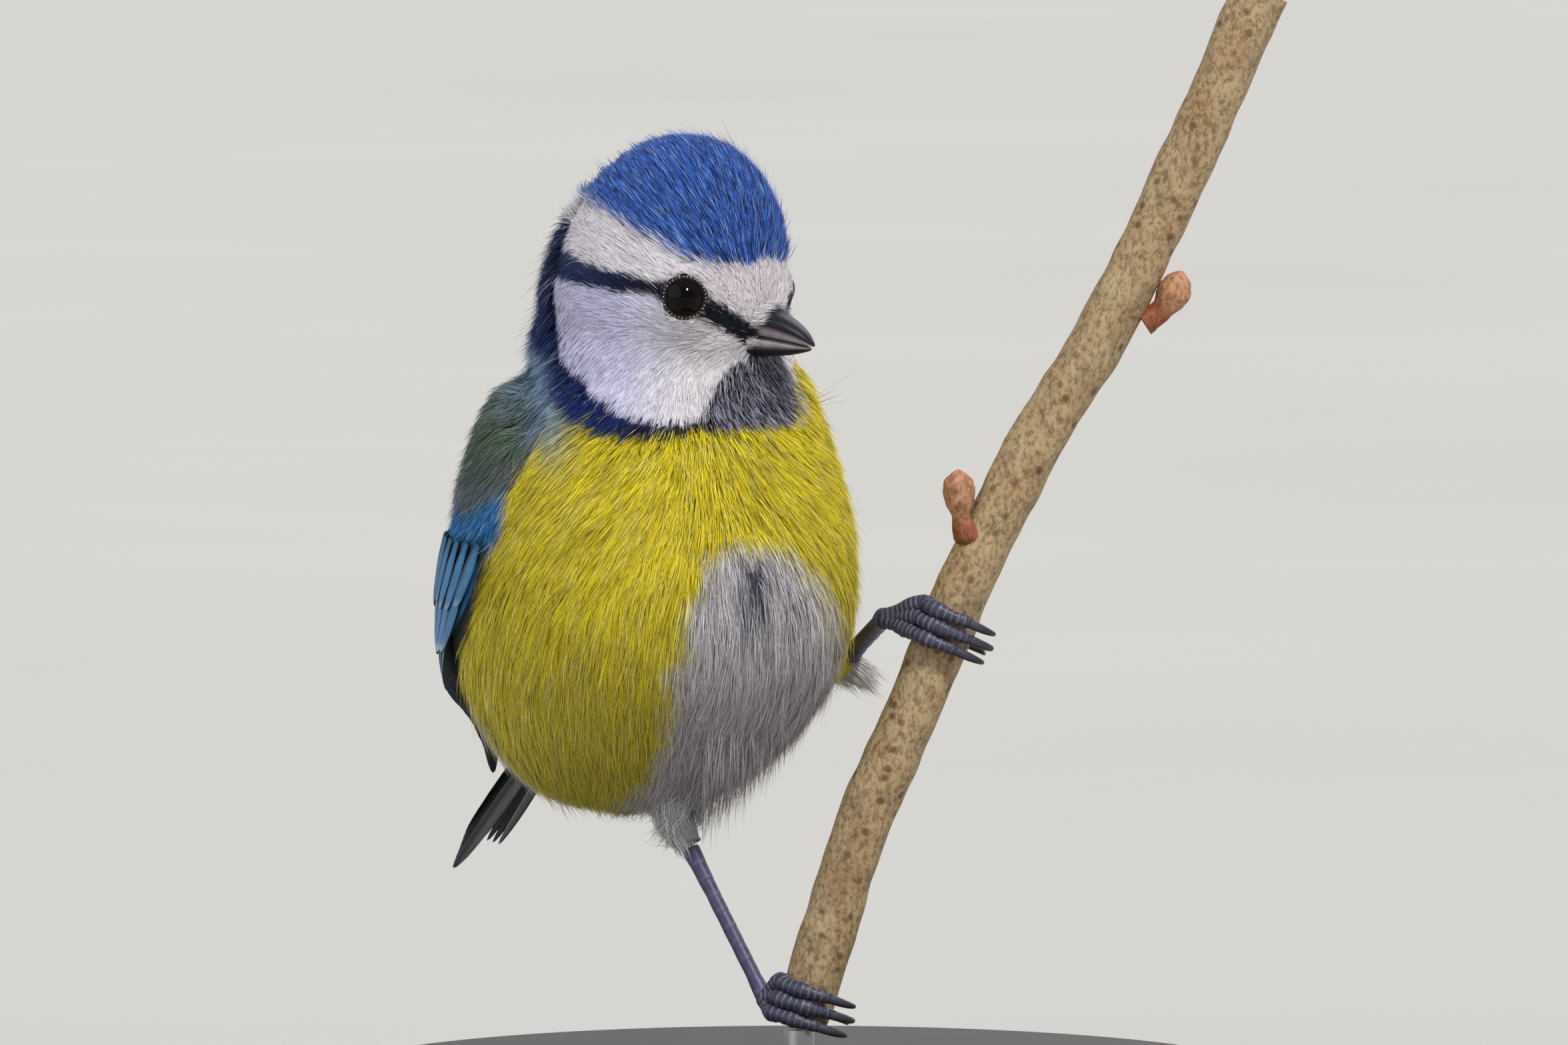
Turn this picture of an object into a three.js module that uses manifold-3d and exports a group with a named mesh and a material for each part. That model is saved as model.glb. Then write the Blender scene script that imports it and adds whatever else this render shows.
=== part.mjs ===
// A blue tit that grips a leaning cut stem, held by a plain stand: a still, life-size model.
// Millimetres. The bird faces -Y, its left side is +X, up is +Z. The origin is the centre of the
// underside of the stand's base.
import * as THREE from "three";
import { mergeVertices } from "three/addons/utils/BufferGeometryUtils.js";
import Module from "manifold-3d";

const wasm = await Module();
wasm.setup();

// Stand
const BASE_RADIUS = 50;
const BASE_HEIGHT = 7;
const BASE_BEVEL = 1.2;
const ROD_RADIUS = 1.6;
const ROD_HEIGHT = 4;
const GAP = 0.3;
const FINE = 0.004; // edges and slivers below this size are merged away
const CLEAR = 0.45; // how far the flesh is grown to cut its neighbours clear of it
const STEM_FOOT = -52.6; // the stem's lower cut, below the middle of the breast
const LIFT = BASE_HEIGHT + GAP + ROD_HEIGHT + GAP - STEM_FOOT; // height of the middle of the breast

// The stem leans in one upright plane, which is turned from the bird's own side-to-side plane
const PLANE_TURN = THREE.MathUtils.degToRad(27);
const PLANE_SHIFT = 14; // from the plane's own zero line to the bird's middle
const STEM_DEPTH = -6;
const STEM_RADIUS = 3;
const ROD_ACROSS = 1.6; // where the rod stands in the stem's plane
const STEM_LINE = [
  [-0.3, -58],
  [1.6, -52.6],
  [8.0, -32],
  [13.2, -20],
  [19.0, -6],
  [26.4, 9],
  [34.0, 21.5],
  [42.6, 39.5],
  [50.2, 57],
];

// Trunk: front, back, half width and sideways place at each height
const TRUNK = [
  { z: -31.2, front: 4, back: 5.5, half: 0, x: 0 },
  { z: -30.2, front: -1, back: 10, half: 6.6, x: 0 },
  { z: -28, front: -5.6, back: 13.6, half: 11.6, x: 0 },
  { z: -24, front: -12, back: 17.4, half: 15.8, x: 0 },
  { z: -18, front: -18.2, back: 20.2, half: 19.2, x: 0 },
  { z: -12, front: -21.6, back: 21.4, half: 21, x: 0 },
  { z: -6, front: -22.8, back: 21.2, half: 21.6, x: 0 },
  { z: 1, front: -21.6, back: 19.4, half: 21, x: 0 },
  { z: 7, front: -19, back: 16.8, half: 19.6, x: 0.1 },
  { z: 12, front: -16.8, back: 14, half: 17.6, x: 0.5 },
  { z: 17, front: -15.2, back: 11.5, half: 14.6, x: 0.9 },
  { z: 23, front: -13.4, back: 9.4, half: 12, x: 0.6 },
  { z: 28, front: -4, back: -3, half: 0, x: 0 },
];
const TRUNK_RINGS = 24;
const TRUNK_SIDES = 30;
const TRUNK_SQUARENESS = 2.12;

// Head: an egg round its own centre, turned to the bird's left and bowed a little
const HEAD_CENTRE = new THREE.Vector3(0, -3.7, 24);
const HEAD_TURN = THREE.MathUtils.degToRad(30);
const HEAD_LENGTH = 13.5;
const HEAD_WIDTH = 12.5;
const HEAD_CROWN = 17.4;
const HEAD_CHIN = 13;
const HEAD_LEAN = 0.14; // how far the crown leans forward for each millimetre of height
const HEAD_RINGS = 18;
const HEAD_SIDES = 26;

// Cuts that part head, neck and trunk: height at the middle, and rise towards the back
const HEAD_CUT = { height: 17.3, rise: 0.22 };
const NECK_CUT = { height: 9.6, rise: 0.18 };

// Eye, in the head's own axes: forward, to the left, up
const EYE_PLACE = { forward: 8.6, aside: 9.6, up: 0.6 };
const EYE_RADIUS = 2.5;
const EYE_SUNK = 1.6;
const LID_RADIUS = 2.3;
const LID_THICKNESS = 0.42;

// Bill, in the head's own axes, from the face to the tip
const BILL_UPPER = [
  { forward: 10.5, top: -0.6, low: -3.7, half: 2.9 },
  { forward: 13, top: -0.9, low: -3.85, half: 2.55 },
  { forward: 15.4, top: -1.75, low: -4.2, half: 1.85 },
  { forward: 17.3, top: -3.05, low: -4.55, half: 1.05 },
  { forward: 18.5, top: -4.5, low: -4.75, half: 0.2 },
];
const BILL_LOWER = [
  { forward: 10.5, top: -4.0, low: -6, half: 2.7 },
  { forward: 13, top: -4.15, low: -5.95, half: 2.25 },
  { forward: 15.3, top: -4.5, low: -5.85, half: 1.5 },
  { forward: 17, top: -4.85, low: -5.6, half: 0.8 },
  { forward: 17.9, top: -5.08, low: -5.3, half: 0.2 },
];
const NOSTRIL = { forward: 14, up: -2.2, aside: 2.15, radius: 0.42 };

// Legs
const TARSUS_RADIUS = 0.75;
const TOE_RADIUS = 0.68;
const CLAW_RADIUS = 0.5;

// Wings: front depth, back, half width, and the span of the folded wing round the body in degrees
const WING = [
  { z: 16.5, back: 12.4, half: 15.6, from: -42, to: -48 },
  { z: 14, back: 13.6, half: 17.4, from: -4, to: -62 },
  { z: 9, back: 16.4, half: 19.4, from: 20, to: -70 },
  { z: 3, back: 18.9, half: 20.7, from: 17, to: -74 },
  { z: -3, back: 20.7, half: 21.2, from: 9, to: -76 },
  { z: -9, back: 21.9, half: 21.1, from: 0, to: -78 },
  { z: -15, back: 23.4, half: 20.1, from: -22, to: -80 },
  { z: -20, back: 26.2, half: 18, from: -50, to: -82 },
  { z: -24, back: 28.8, half: 15.5, from: -69, to: -82 },
  { z: -27, back: 30.8, half: 13, from: -76, to: -78 },
];
const WING_INNER = 1.3;
const WING_OUTER = 0.8;
const WING_RINGS = 13;
const WING_SIDES = 10;
const POCKET_OUT = 5; // how far out the trunk is cleared over a wing
const POCKET_GROW = 0.45;
const DEGREES_A_MM = 2.8; // on the trunk's side, the turn for each millimetre
const LEFT_WING_BACK = 12; // how much further round to the back the left wing's front edge lies

// Vanes: each tier's first and last root and tip as [along, across] the folded wing, and the
// heights of its roots and tips above the plate's middle
const VANE_THICKNESS = 0.55;
const VANE_STEPS = 3;
const VANE_TIP_POWER = 5;
const VANE_ROLL = THREE.MathUtils.degToRad(15);
const WING_TIERS = [
  // Flight feathers
  {
    count: 6,
    root: [[0.6, 0.1], [0.6, 0.5]],
    tip: [[0.85, 0.08], [1.05, 0.7]],
    height: [0.3, 0.9],
    width: 3.2,
  },
  // Greater coverts
  {
    count: 5,
    root: [[0.44, 0.2], [0.46, 0.7]],
    tip: [[0.71, 0.06], [0.84, 0.58]],
    height: [0.4, 1.2],
    width: 4,
  },
  // Inner flight feathers
  {
    count: 3,
    root: [[0.44, 0.78], [0.4, 0.92]],
    tip: [[0.8, 0.74], [0.62, 0.9]],
    height: [0.6, 1.6],
    width: 4.2,
  },
  // Coverts of the outer edge
  {
    count: 2,
    root: [[0.4, 0.05], [0.38, 0.14]],
    tip: [[0.66, 0.03], [0.58, 0.12]],
    height: [0.4, 1.2],
    width: 2.6,
  },
  // Median coverts
  {
    count: 6,
    root: [[0.3, 0.12], [0.3, 0.8]],
    tip: [[0.5, 0.11], [0.52, 0.79]],
    height: [0.6, 1.5],
    width: 5.3,
  },
  // Lesser coverts
  {
    count: 5,
    root: [[0.17, 0.13], [0.17, 0.76]],
    tip: [[0.34, 0.11], [0.34, 0.75]],
    height: [0.6, 1.7],
    width: 5.9,
  },
  // Shoulder
  {
    count: 3,
    root: [[0.06, 0.25], [0.06, 0.62]],
    tip: [[0.21, 0.18], [0.21, 0.62]],
    height: [0.5, 1.8],
    width: 6.6,
  },
  // Feathers over the back edge
  {
    count: 2,
    root: [[0.12, 0.86], [0.06, 0.94]],
    tip: [[0.42, 0.83], [0.28, 0.95]],
    height: [0.7, 2.1],
    width: 5.4,
  },
];

// Tail
const TAIL_ROOT = new THREE.Vector3(-0.8, 7.2, -12.3);
const TAIL_TIP = new THREE.Vector3(-1.4, 40.6, -37.2);
const TAIL_ROLL = THREE.MathUtils.degToRad(24);
const TAIL_HALF = 5.2;
const TAIL_CORE = 0.6; // how far along the tail its coverts and core reach
const TAIL_VANES = 12;
const TAIL_STEP = 0.42;
const TAIL_STACK = 1.7; // half the height of the stack of vanes
const TAIL_VANE_ROLL = THREE.MathUtils.degToRad(7);

// Colours
const BLUE = 0x4a78c0;
const WHITE = 0xdcdce6;
const YELLOW = 0xc9b92e;
const NAVY = 0x1d2c5c;
const SLATE = 0x4c5468;
const DARK = 0x16161c;
const BARK = 0xa58a5c;
const BASE_STAIN = 0x2a2622;
const STEEL = 0xb8b8ba;

function material(colour, roughness = 0.8, metalness = 0) {
  return new THREE.MeshStandardMaterial({ color: colour, roughness, metalness });
}

// A smooth value between stations, at a place along their key
function between(stations, key, name, at) {
  const rising = stations[0][key] < stations[stations.length - 1][key];
  const ordered = rising ? stations : [...stations].reverse();
  let i = 0;
  while (i < ordered.length - 2 && at > ordered[i + 1][key]) {
    i += 1;
  }
  const before = ordered[Math.max(i - 1, 0)];
  const low = ordered[i];
  const high = ordered[i + 1];
  const after = ordered[Math.min(i + 2, ordered.length - 1)];
  const span = high[key] - low[key];
  const t = THREE.MathUtils.clamp((at - low[key]) / span, 0, 1);
  const slopeLow = (high[name] - before[name]) / (high[key] - before[key]);
  const slopeHigh = (after[name] - low[name]) / (after[key] - low[key]);
  const t2 = t * t;
  const t3 = t2 * t;
  return (
    (2 * t3 - 3 * t2 + 1) * low[name] +
    (t3 - 2 * t2 + t) * span * slopeLow +
    (3 * t2 - 2 * t3) * high[name] +
    (t3 - t2) * span * slopeHigh
  );
}

// A closed form: a sphere's rings, each vertex set by its place along and around
function form(rings, sides, place) {
  const geometry = new THREE.SphereGeometry(1, sides, rings);
  const position = geometry.attributes.position;
  const columns = sides + 1;
  for (let i = 0; i < position.count; i += 1) {
    const along = Math.floor(i / columns) / rings;
    const around = ((i % columns) / sides) * 2 * Math.PI;
    const point = place(along, i % columns === sides ? 0 : around);
    position.setXYZ(i, point.x, point.y, point.z);
  }
  return solid(geometry);
}

// A closed solid from a geometry, with its faces turned out
function solid(geometry) {
  geometry.deleteAttribute("normal");
  geometry.deleteAttribute("uv");
  const merged = mergeVertices(geometry, 1e-4);
  const vertProperties = new Float32Array(merged.attributes.position.array);
  const triVerts = new Uint32Array(merged.index.array);
  if (signedVolume(vertProperties, triVerts) < 0) {
    for (let i = 0; i < triVerts.length; i += 3) {
      [triVerts[i], triVerts[i + 1]] = [triVerts[i + 1], triVerts[i]];
    }
  }
  return new wasm.Manifold(new wasm.Mesh({ numProp: 3, vertProperties, triVerts }));
}

function signedVolume(points, corners) {
  const [a, b, c] = [new THREE.Vector3(), new THREE.Vector3(), new THREE.Vector3()];
  let sum = 0;
  for (let i = 0; i < corners.length; i += 3) {
    a.fromArray(points, corners[i] * 3);
    b.fromArray(points, corners[i + 1] * 3);
    c.fromArray(points, corners[i + 2] * 3);
    sum += a.dot(b.cross(c));
  }
  return sum;
}

// The largest closed body of a solid
function largest(body) {
  const pieces = body.decompose();
  return pieces.reduce((best, piece) => (piece.volume() > best.volume() ? piece : best));
}

function joined(pieces) {
  return pieces.reduce((whole, piece) => whole.add(piece));
}

function mesh(name, body, look) {
  const kept = largest(body).simplify(FINE).getMesh();
  const count = kept.vertProperties.length / kept.numProp;
  const points = new Float32Array(count * 3);
  for (let i = 0; i < count; i += 1) {
    for (let k = 0; k < 3; k += 1) {
      points[i * 3 + k] = kept.vertProperties[i * kept.numProp + k];
    }
  }
  const geometry = new THREE.BufferGeometry();
  geometry.setAttribute("position", new THREE.BufferAttribute(points, 3));
  geometry.setIndex(new THREE.BufferAttribute(new Uint32Array(kept.triVerts), 1));
  geometry.computeVertexNormals();
  const piece = new THREE.Mesh(geometry, look);
  piece.name = name;
  return piece;
}

// A place in the stem's plane: across, away from it to the back, and height
function inPlane(across, depth, height) {
  const c = Math.cos(PLANE_TURN);
  const s = Math.sin(PLANE_TURN);
  const a = across + PLANE_SHIFT;
  return new THREE.Vector3(c * a + s * depth, c * depth - s * a, height);
}

// A flat-ended tube of changing radius along a smooth line, its ends closed by a fan of faces
function limb(points, radii, sides, steps, grow = 0) {
  const line = new THREE.CatmullRomCurve3(points, false, "centripetal");
  const frames = line.computeFrenetFrames(steps, false);
  const stations = radii.map((radius, i) => ({ t: i / (radii.length - 1), radius }));
  const rings = steps + 2;
  return form(rings, sides, (along, around) => {
    const ring = Math.round(along * rings);
    const step = THREE.MathUtils.clamp(ring - 1, 0, steps);
    const share = step / steps;
    const open = ring === 0 || ring === rings ? 0 : 1;
    const radius = (between(stations, "t", "radius", share) + grow) * open;
    const point = line.getPointAt(share);
    point.addScaledVector(frames.normals[step], radius * Math.cos(around));
    point.addScaledVector(frames.binormals[step], radius * Math.sin(around));
    return point;
  });
}

// Trunk and head

function power(value, exponent) {
  return Math.sign(value) * Math.pow(Math.abs(value), exponent);
}

function trunk(grow) {
  const low = TRUNK[0].z;
  const high = TRUNK[TRUNK.length - 1].z;
  const exponent = 2 / TRUNK_SQUARENESS;
  return form(TRUNK_RINGS, TRUNK_SIDES, (along, around) => {
    const share = 0.5 + 0.5 * Math.cos(Math.PI * along);
    const at = low + (high - low) * share;
    const z = at + grow * (2 * share - 1);
    const closed = along === 0 || along === 1;
    const front = between(TRUNK, "z", "front", at);
    const back = between(TRUNK, "z", "back", at);
    const half = closed ? 0 : between(TRUNK, "z", "half", at) + grow;
    const depth = closed ? 0 : (back - front) / 2 + grow;
    const x = between(TRUNK, "z", "x", at) + half * power(Math.cos(around), exponent);
    const y = (front + back) / 2 + depth * power(Math.sin(around), exponent);
    return new THREE.Vector3(x, y, z);
  });
}

// The head's own axes: forward, to its left, and up
function inHead(forward, left, up) {
  const c = Math.cos(HEAD_TURN);
  const s = Math.sin(HEAD_TURN);
  return new THREE.Vector3(
    HEAD_CENTRE.x + s * forward + c * left,
    HEAD_CENTRE.y - c * forward + s * left,
    HEAD_CENTRE.z + up,
  );
}

function headForm(grow) {
  return form(HEAD_RINGS, HEAD_SIDES, (along, around) => {
    const polar = Math.PI * along;
    const wide = along === 0 || along === 1 ? 0 : Math.sin(polar);
    const tall = Math.cos(polar) > 0 ? HEAD_CROWN : HEAD_CHIN;
    const up = (tall + grow) * Math.cos(polar);
    return inHead(
      (HEAD_LENGTH + grow) * wide * Math.cos(around) + HEAD_LEAN * Math.max(up, 0),
      (HEAD_WIDTH + grow) * wide * Math.sin(around),
      up,
    );
  });
}

// Half of space as a large box, above a plane that rises to the back
function above(cut, shift) {
  const size = 200;
  const box = new THREE.BoxGeometry(size, size, size);
  box.translate(0, 0, size / 2);
  box.rotateX(Math.atan(cut.rise));
  box.translate(0, 0, cut.height + shift);
  return solid(box);
}

const flesh = trunk(0).add(headForm(0));
const fleshGrown = trunk(CLEAR).add(headForm(CLEAR));

function eyeCentre(side) {
  const out = new THREE.Vector3(EYE_PLACE.forward / HEAD_LENGTH ** 2, 0, 0);
  out.y = (side * EYE_PLACE.aside) / HEAD_WIDTH ** 2;
  out.normalize();
  return {
    surface: inHead(EYE_PLACE.forward, side * EYE_PLACE.aside, EYE_PLACE.up),
    centre: inHead(
      EYE_PLACE.forward - out.x * EYE_SUNK,
      side * EYE_PLACE.aside - out.y * EYE_SUNK,
      EYE_PLACE.up,
    ),
  };
}

function ball(centre, radius, sides = 14, rings = 8) {
  const geometry = new THREE.SphereGeometry(radius, sides, rings);
  geometry.translate(centre.x, centre.y, centre.z);
  return solid(geometry);
}

function lid(side) {
  const { surface, centre } = eyeCentre(side);
  const ring = new THREE.TorusGeometry(LID_RADIUS, LID_THICKNESS, 5, 16);
  const out = surface.clone().sub(centre).normalize();
  ring.applyQuaternion(new THREE.Quaternion().setFromUnitVectors(new THREE.Vector3(0, 0, 1), out));
  ring.translate(surface.x, surface.y, surface.z);
  return solid(ring);
}

function billForm(stations) {
  const first = stations[0].forward;
  const last = stations[stations.length - 1].forward;
  return form(12, 12, (along, around) => {
    const closed = along === 0 || along === 1 ? 0 : 1;
    const forward = first + (last - first) * along;
    const top = between(stations, "forward", "top", forward);
    const low = between(stations, "forward", "low", forward);
    const half = between(stations, "forward", "half", forward) * closed;
    const rise = (top - low) / 2;
    return inHead(
      forward,
      half * Math.cos(around),
      (top + low) / 2 + rise * closed * power(Math.sin(around), 0.8),
    );
  });
}

function billUpper() {
  let bill = billForm(BILL_UPPER).subtract(fleshGrown);
  for (const side of [-1, 1]) {
    bill = bill.subtract(
      ball(inHead(NOSTRIL.forward, side * NOSTRIL.aside, NOSTRIL.up), NOSTRIL.radius, 8, 6),
    );
  }
  return bill;
}

function headBody() {
  let head = flesh.intersect(above(HEAD_CUT, GAP / 2));
  for (const side of [-1, 1]) {
    head = head.add(lid(side)).subtract(ball(eyeCentre(side).centre, EYE_RADIUS + GAP));
  }
  return head;
}

// A vane: a thin tapering blade along a bent line, with its face turned out
function vane({ root, middle, tip, out, width, thickness, roll }) {
  const bend = middle.clone().multiplyScalar(2).sub(root.clone().lerp(tip, 0.5));
  const line = new THREE.QuadraticBezierCurve3(root, bend, tip);
  const steps = VANE_STEPS;
  const rings = steps + 2;
  return form(rings, 4, (along, around) => {
    const ring = Math.round(along * rings);
    const share = 1 - Math.pow(1 - THREE.MathUtils.clamp(ring - 1, 0, steps) / steps, 1.5);
    const open = ring === 0 || ring === rings ? 0 : 1;
    const tangent = line.getTangent(share);
    const side = new THREE.Vector3().crossVectors(tangent, out).normalize();
    side.applyAxisAngle(tangent, roll);
    const up = new THREE.Vector3().crossVectors(side, tangent).normalize();
    const broad = Math.min(1, 0.45 + 1.6 * share);
    const rounded = Math.sqrt(Math.max(0.08, 1 - Math.pow(share, VANE_TIP_POWER)));
    const half = 0.5 * width * broad * rounded * open;
    const thick = 0.5 * thickness * (1 - 0.45 * share * share) * open;
    const corner = around + Math.PI / 4;
    const point = line.getPoint(share);
    point.addScaledVector(side, half * Math.sign(Math.cos(corner)));
    return point.addScaledVector(up, thick * Math.sign(Math.sin(corner)));
  });
}

// Folded wings: a curved plate that lies in a pocket of the trunk's side, with tiers of vanes on it

function wingPoint(z, degrees, height, side) {
  const at = THREE.MathUtils.clamp(z, WING[WING.length - 1].z, WING[0].z);
  const back = between(WING, "z", "back", at) + height;
  const half = between(WING, "z", "half", at) + height;
  const trunkAt = THREE.MathUtils.clamp(z, TRUNK[0].z, TRUNK[TRUNK.length - 1].z);
  const front = between(TRUNK, "z", "front", trunkAt) - height;
  const middle = (front + back) / 2;
  const angle = THREE.MathUtils.degToRad(degrees);
  const depth = (back - front) / 2;
  return new THREE.Vector3(side * half * Math.cos(angle), middle - depth * Math.sin(angle), z);
}

// The plate itself, or, grown and open to the outside, the pocket that it lies in
function wingPlate(side, inner, outer, grow) {
  const first = WING[0].z + grow;
  const last = WING[WING.length - 1].z - grow;
  const shift = side > 0 ? LEFT_WING_BACK : 0;
  return form(WING_RINGS, WING_SIDES, (along, around) => {
    const open = along === 0 || along === 1 ? 0 : 1;
    const z = first + (last - first) * along;
    const at = THREE.MathUtils.clamp(z, WING[WING.length - 1].z, WING[0].z);
    const from = between(WING, "z", "from", at) - shift * open + grow * DEGREES_A_MM;
    const to = between(WING, "z", "to", at) - grow * DEGREES_A_MM;
    const spread = ((from - to) / 2) * open * Math.cos(around);
    const reach = Math.sin(around) > 0 ? outer : inner;
    const height = reach * open * power(Math.abs(Math.sin(around)), 0.6);
    return wingPoint(z, (from + to) / 2 + spread, height, side);
  });
}

// A place on the folded wing: along from shoulder to tip, and across from its front edge to the back
function onWing(along, across, height, side) {
  const z = THREE.MathUtils.lerp(WING[0].z, WING[WING.length - 1].z, along);
  const at = THREE.MathUtils.clamp(z, WING[WING.length - 1].z, WING[0].z);
  const shift = side > 0 ? LEFT_WING_BACK * (1 - across) : 0;
  const from = between(WING, "z", "from", at) - shift;
  const to = between(WING, "z", "to", at);
  return wingPoint(z, THREE.MathUtils.lerp(from, to, across), height, side);
}

function tierOf(tier, side, random) {
  const vanes = [];
  for (let i = 0; i < tier.count; i += 1) {
    const share = tier.count > 1 ? i / (tier.count - 1) : 0;
    const jitter = (random() - 0.5) * 0.012;
    const rootAlong = THREE.MathUtils.lerp(tier.root[0][0], tier.root[1][0], share);
    const rootAcross = THREE.MathUtils.lerp(tier.root[0][1], tier.root[1][1], share);
    const tipAlong = THREE.MathUtils.lerp(tier.tip[0][0], tier.tip[1][0], share) + jitter;
    const tipAcross = THREE.MathUtils.lerp(tier.tip[0][1], tier.tip[1][1], share);
    const middleAlong = (rootAlong + tipAlong) / 2;
    const middleAcross = (rootAcross + tipAcross) / 2;
    const low = tier.height[0];
    const high = tier.height[1];
    const middle = onWing(middleAlong, middleAcross, (low + high) / 2, side);
    const out = onWing(middleAlong, middleAcross, high + 1, side).sub(
      onWing(middleAlong, middleAcross, high, side),
    );
    vanes.push(
      vane({
        root: onWing(rootAlong, rootAcross, low, side),
        middle,
        tip: onWing(tipAlong, tipAcross, high, side),
        out: out.normalize(),
        width: tier.width * (1 + (random() - 0.5) * 0.08),
        thickness: VANE_THICKNESS,
        roll: side * VANE_ROLL,
      }),
    );
  }
  return vanes;
}

function wing(side) {
  const random = seeded(side > 0 ? 11 : 15);
  const plate = wingPlate(side, -WING_INNER, WING_OUTER, 0);
  const vanes = WING_TIERS.flatMap((tier) => tierOf(tier, side, random));
  return joined([plate, ...vanes]);
}

// A stream of even random numbers from 0 to 1 that is the same on every run
function seeded(seed) {
  let state = seed * 7919;
  return () => {
    state = (state * 16807) % 2147483647;
    return state / 2147483647;
  };
}

// Tail: coverts round the root, and a closed fan of vanes, the middle pair on top

function tailFrame() {
  const axis = TAIL_TIP.clone().sub(TAIL_ROOT).normalize();
  const across = new THREE.Vector3(1, 0, 0).applyAxisAngle(axis, -TAIL_ROLL);
  const up = new THREE.Vector3().crossVectors(across, axis).normalize();
  return { across, up };
}

function tailPoint(along, aside, rise) {
  const { across, up } = tailFrame();
  return TAIL_ROOT.clone()
    .lerp(TAIL_TIP, along)
    .addScaledVector(across, aside)
    .addScaledVector(up, rise);
}

function tailCore(grow) {
  return form(14, 12, (along, around) => {
    const open = along === 0 || along === 1 ? 0 : 1;
    const share = along * TAIL_CORE;
    const half = (TAIL_HALF - 0.9 - 1.2 * along + grow) * open;
    const thick = (3.4 - 2.4 * along + grow) * open;
    return tailPoint(share, half * Math.cos(around), thick * Math.sin(around) - 0.8 * along);
  });
}

// The space that the tail's vanes fill, grown, to keep the wing tips clear of it
function tailSpace(grow) {
  return form(8, 10, (along, around) => {
    const open = along === 0 || along === 1 ? 0 : 1;
    const half = (TAIL_HALF + 0.4 + grow) * open;
    const thick = (TAIL_STACK + grow) * open;
    const rise = thick * power(Math.sin(around), 0.6) - 0.4;
    return tailPoint(0.3 + 0.75 * along, half * Math.cos(around), rise);
  });
}

function tailVanes() {
  const { up } = tailFrame();
  const vanes = [];
  for (let i = 0; i < TAIL_VANES; i += 1) {
    const place = i - (TAIL_VANES - 1) / 2;
    const rank = Math.abs(place);
    const drop = 0.9 - rank * TAIL_STEP;
    const tipAside = place * ((TAIL_HALF - 1.5) / (TAIL_VANES / 2));
    const reach = 0.97 + 0.03 * (rank / (TAIL_VANES / 2));
    vanes.push(
      vane({
        root: tailPoint(0.3, tipAside * 0.4, drop * 0.6),
        middle: tailPoint(0.64, tipAside * 0.75, drop * 0.9),
        tip: tailPoint(reach, tipAside, drop),
        out: up,
        width: 3.3,
        thickness: VANE_THICKNESS,
        roll: Math.sign(place) * TAIL_VANE_ROLL,
      }),
    );
  }
  return vanes;
}

// Legs and feet: each foot closes round the stem

const stemCurve = new THREE.CatmullRomCurve3(
  STEM_LINE.map(([across, height]) => inPlane(across, STEM_DEPTH, height)),
);

function stemFrame(height) {
  let low = 0;
  let high = 1;
  for (let i = 0; i < 40; i += 1) {
    const middle = (low + high) / 2;
    if (stemCurve.getPointAt(middle).z < height) {
      low = middle;
    } else {
      high = middle;
    }
  }
  const centre = stemCurve.getPointAt(low);
  const axis = stemCurve.getTangentAt(low);
  const toFront = inPlane(0, -1, 0).sub(inPlane(0, 0, 0));
  const toRight = new THREE.Vector3().crossVectors(toFront, axis).normalize().negate();
  if (toRight.x < 0) {
    toRight.negate();
  }
  return { centre, axis, toFront, toRight };
}

// A point round the stem: 0 degrees is its right, 90 its front, 180 its left
function roundStem(frame, degrees, radius, along) {
  const angle = THREE.MathUtils.degToRad(degrees);
  return frame.centre
    .clone()
    .addScaledVector(frame.toRight, radius * Math.cos(angle))
    .addScaledVector(frame.toFront, radius * Math.sin(angle))
    .addScaledVector(frame.axis, along);
}

const GRIP = STEM_RADIUS + GAP + TOE_RADIUS;
const FEET = {
  left: {
    height: -10.6,
    tuft: 2.5,
    ankle: inPlane(7.0, 9.4, -14.6),
    knee: inPlane(-6, 6, -19),
    base: { degrees: 186, radius: 6.4, along: -1.6 },
    toes: [
      { along: 1.6, end: 62, claw: 6 },
      { along: 0, end: 50, claw: -22 },
      { along: -1.6, end: 66, claw: 4 },
      { along: -0.9, end: 296, claw: 352 },
    ],
  },
  right: {
    height: -50.2,
    tuft: 1.8,
    ankle: inPlane(-9.8, -1.6, -34.3),
    knee: inPlane(-14.4, 2, -22),
    base: { degrees: 172, radius: 4.4, along: -0.6 },
    toes: [
      { along: 1.6, end: 60, claw: 6 },
      { along: 0, end: 48, claw: -16 },
      { along: -1.6, end: 64, claw: 4 },
      { along: -0.6, end: 296, claw: 352 },
    ],
  },
};

function footBase(foot) {
  const { degrees, radius, along } = foot.base;
  return roundStem(stemFrame(foot.height), degrees, radius, along);
}

// The line of one toe from the foot's base round the stem
function toeLine(foot, toe, to) {
  const frame = stemFrame(foot.height);
  const start = toe.end > 180 ? 212 : 150;
  const points = [footBase(foot)];
  const steps = 5;
  for (let i = 0; i <= steps; i += 1) {
    const degrees = THREE.MathUtils.lerp(start, to, i / steps);
    points.push(roundStem(frame, degrees, GRIP, toe.along));
  }
  return points;
}

function toeForm(foot, toe) {
  const radii = [TOE_RADIUS * 1.1, TOE_RADIUS * 1.1, TOE_RADIUS, TOE_RADIUS * 0.92];
  return limb(toeLine(foot, toe, toe.end), radii, 6, 8);
}

function footForm(foot) {
  const toes = foot.toes.map((toe) => toeForm(foot, toe));
  return joined([ball(footBase(foot), TOE_RADIUS * 1.7, 8, 6), ...toes]);
}

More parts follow.
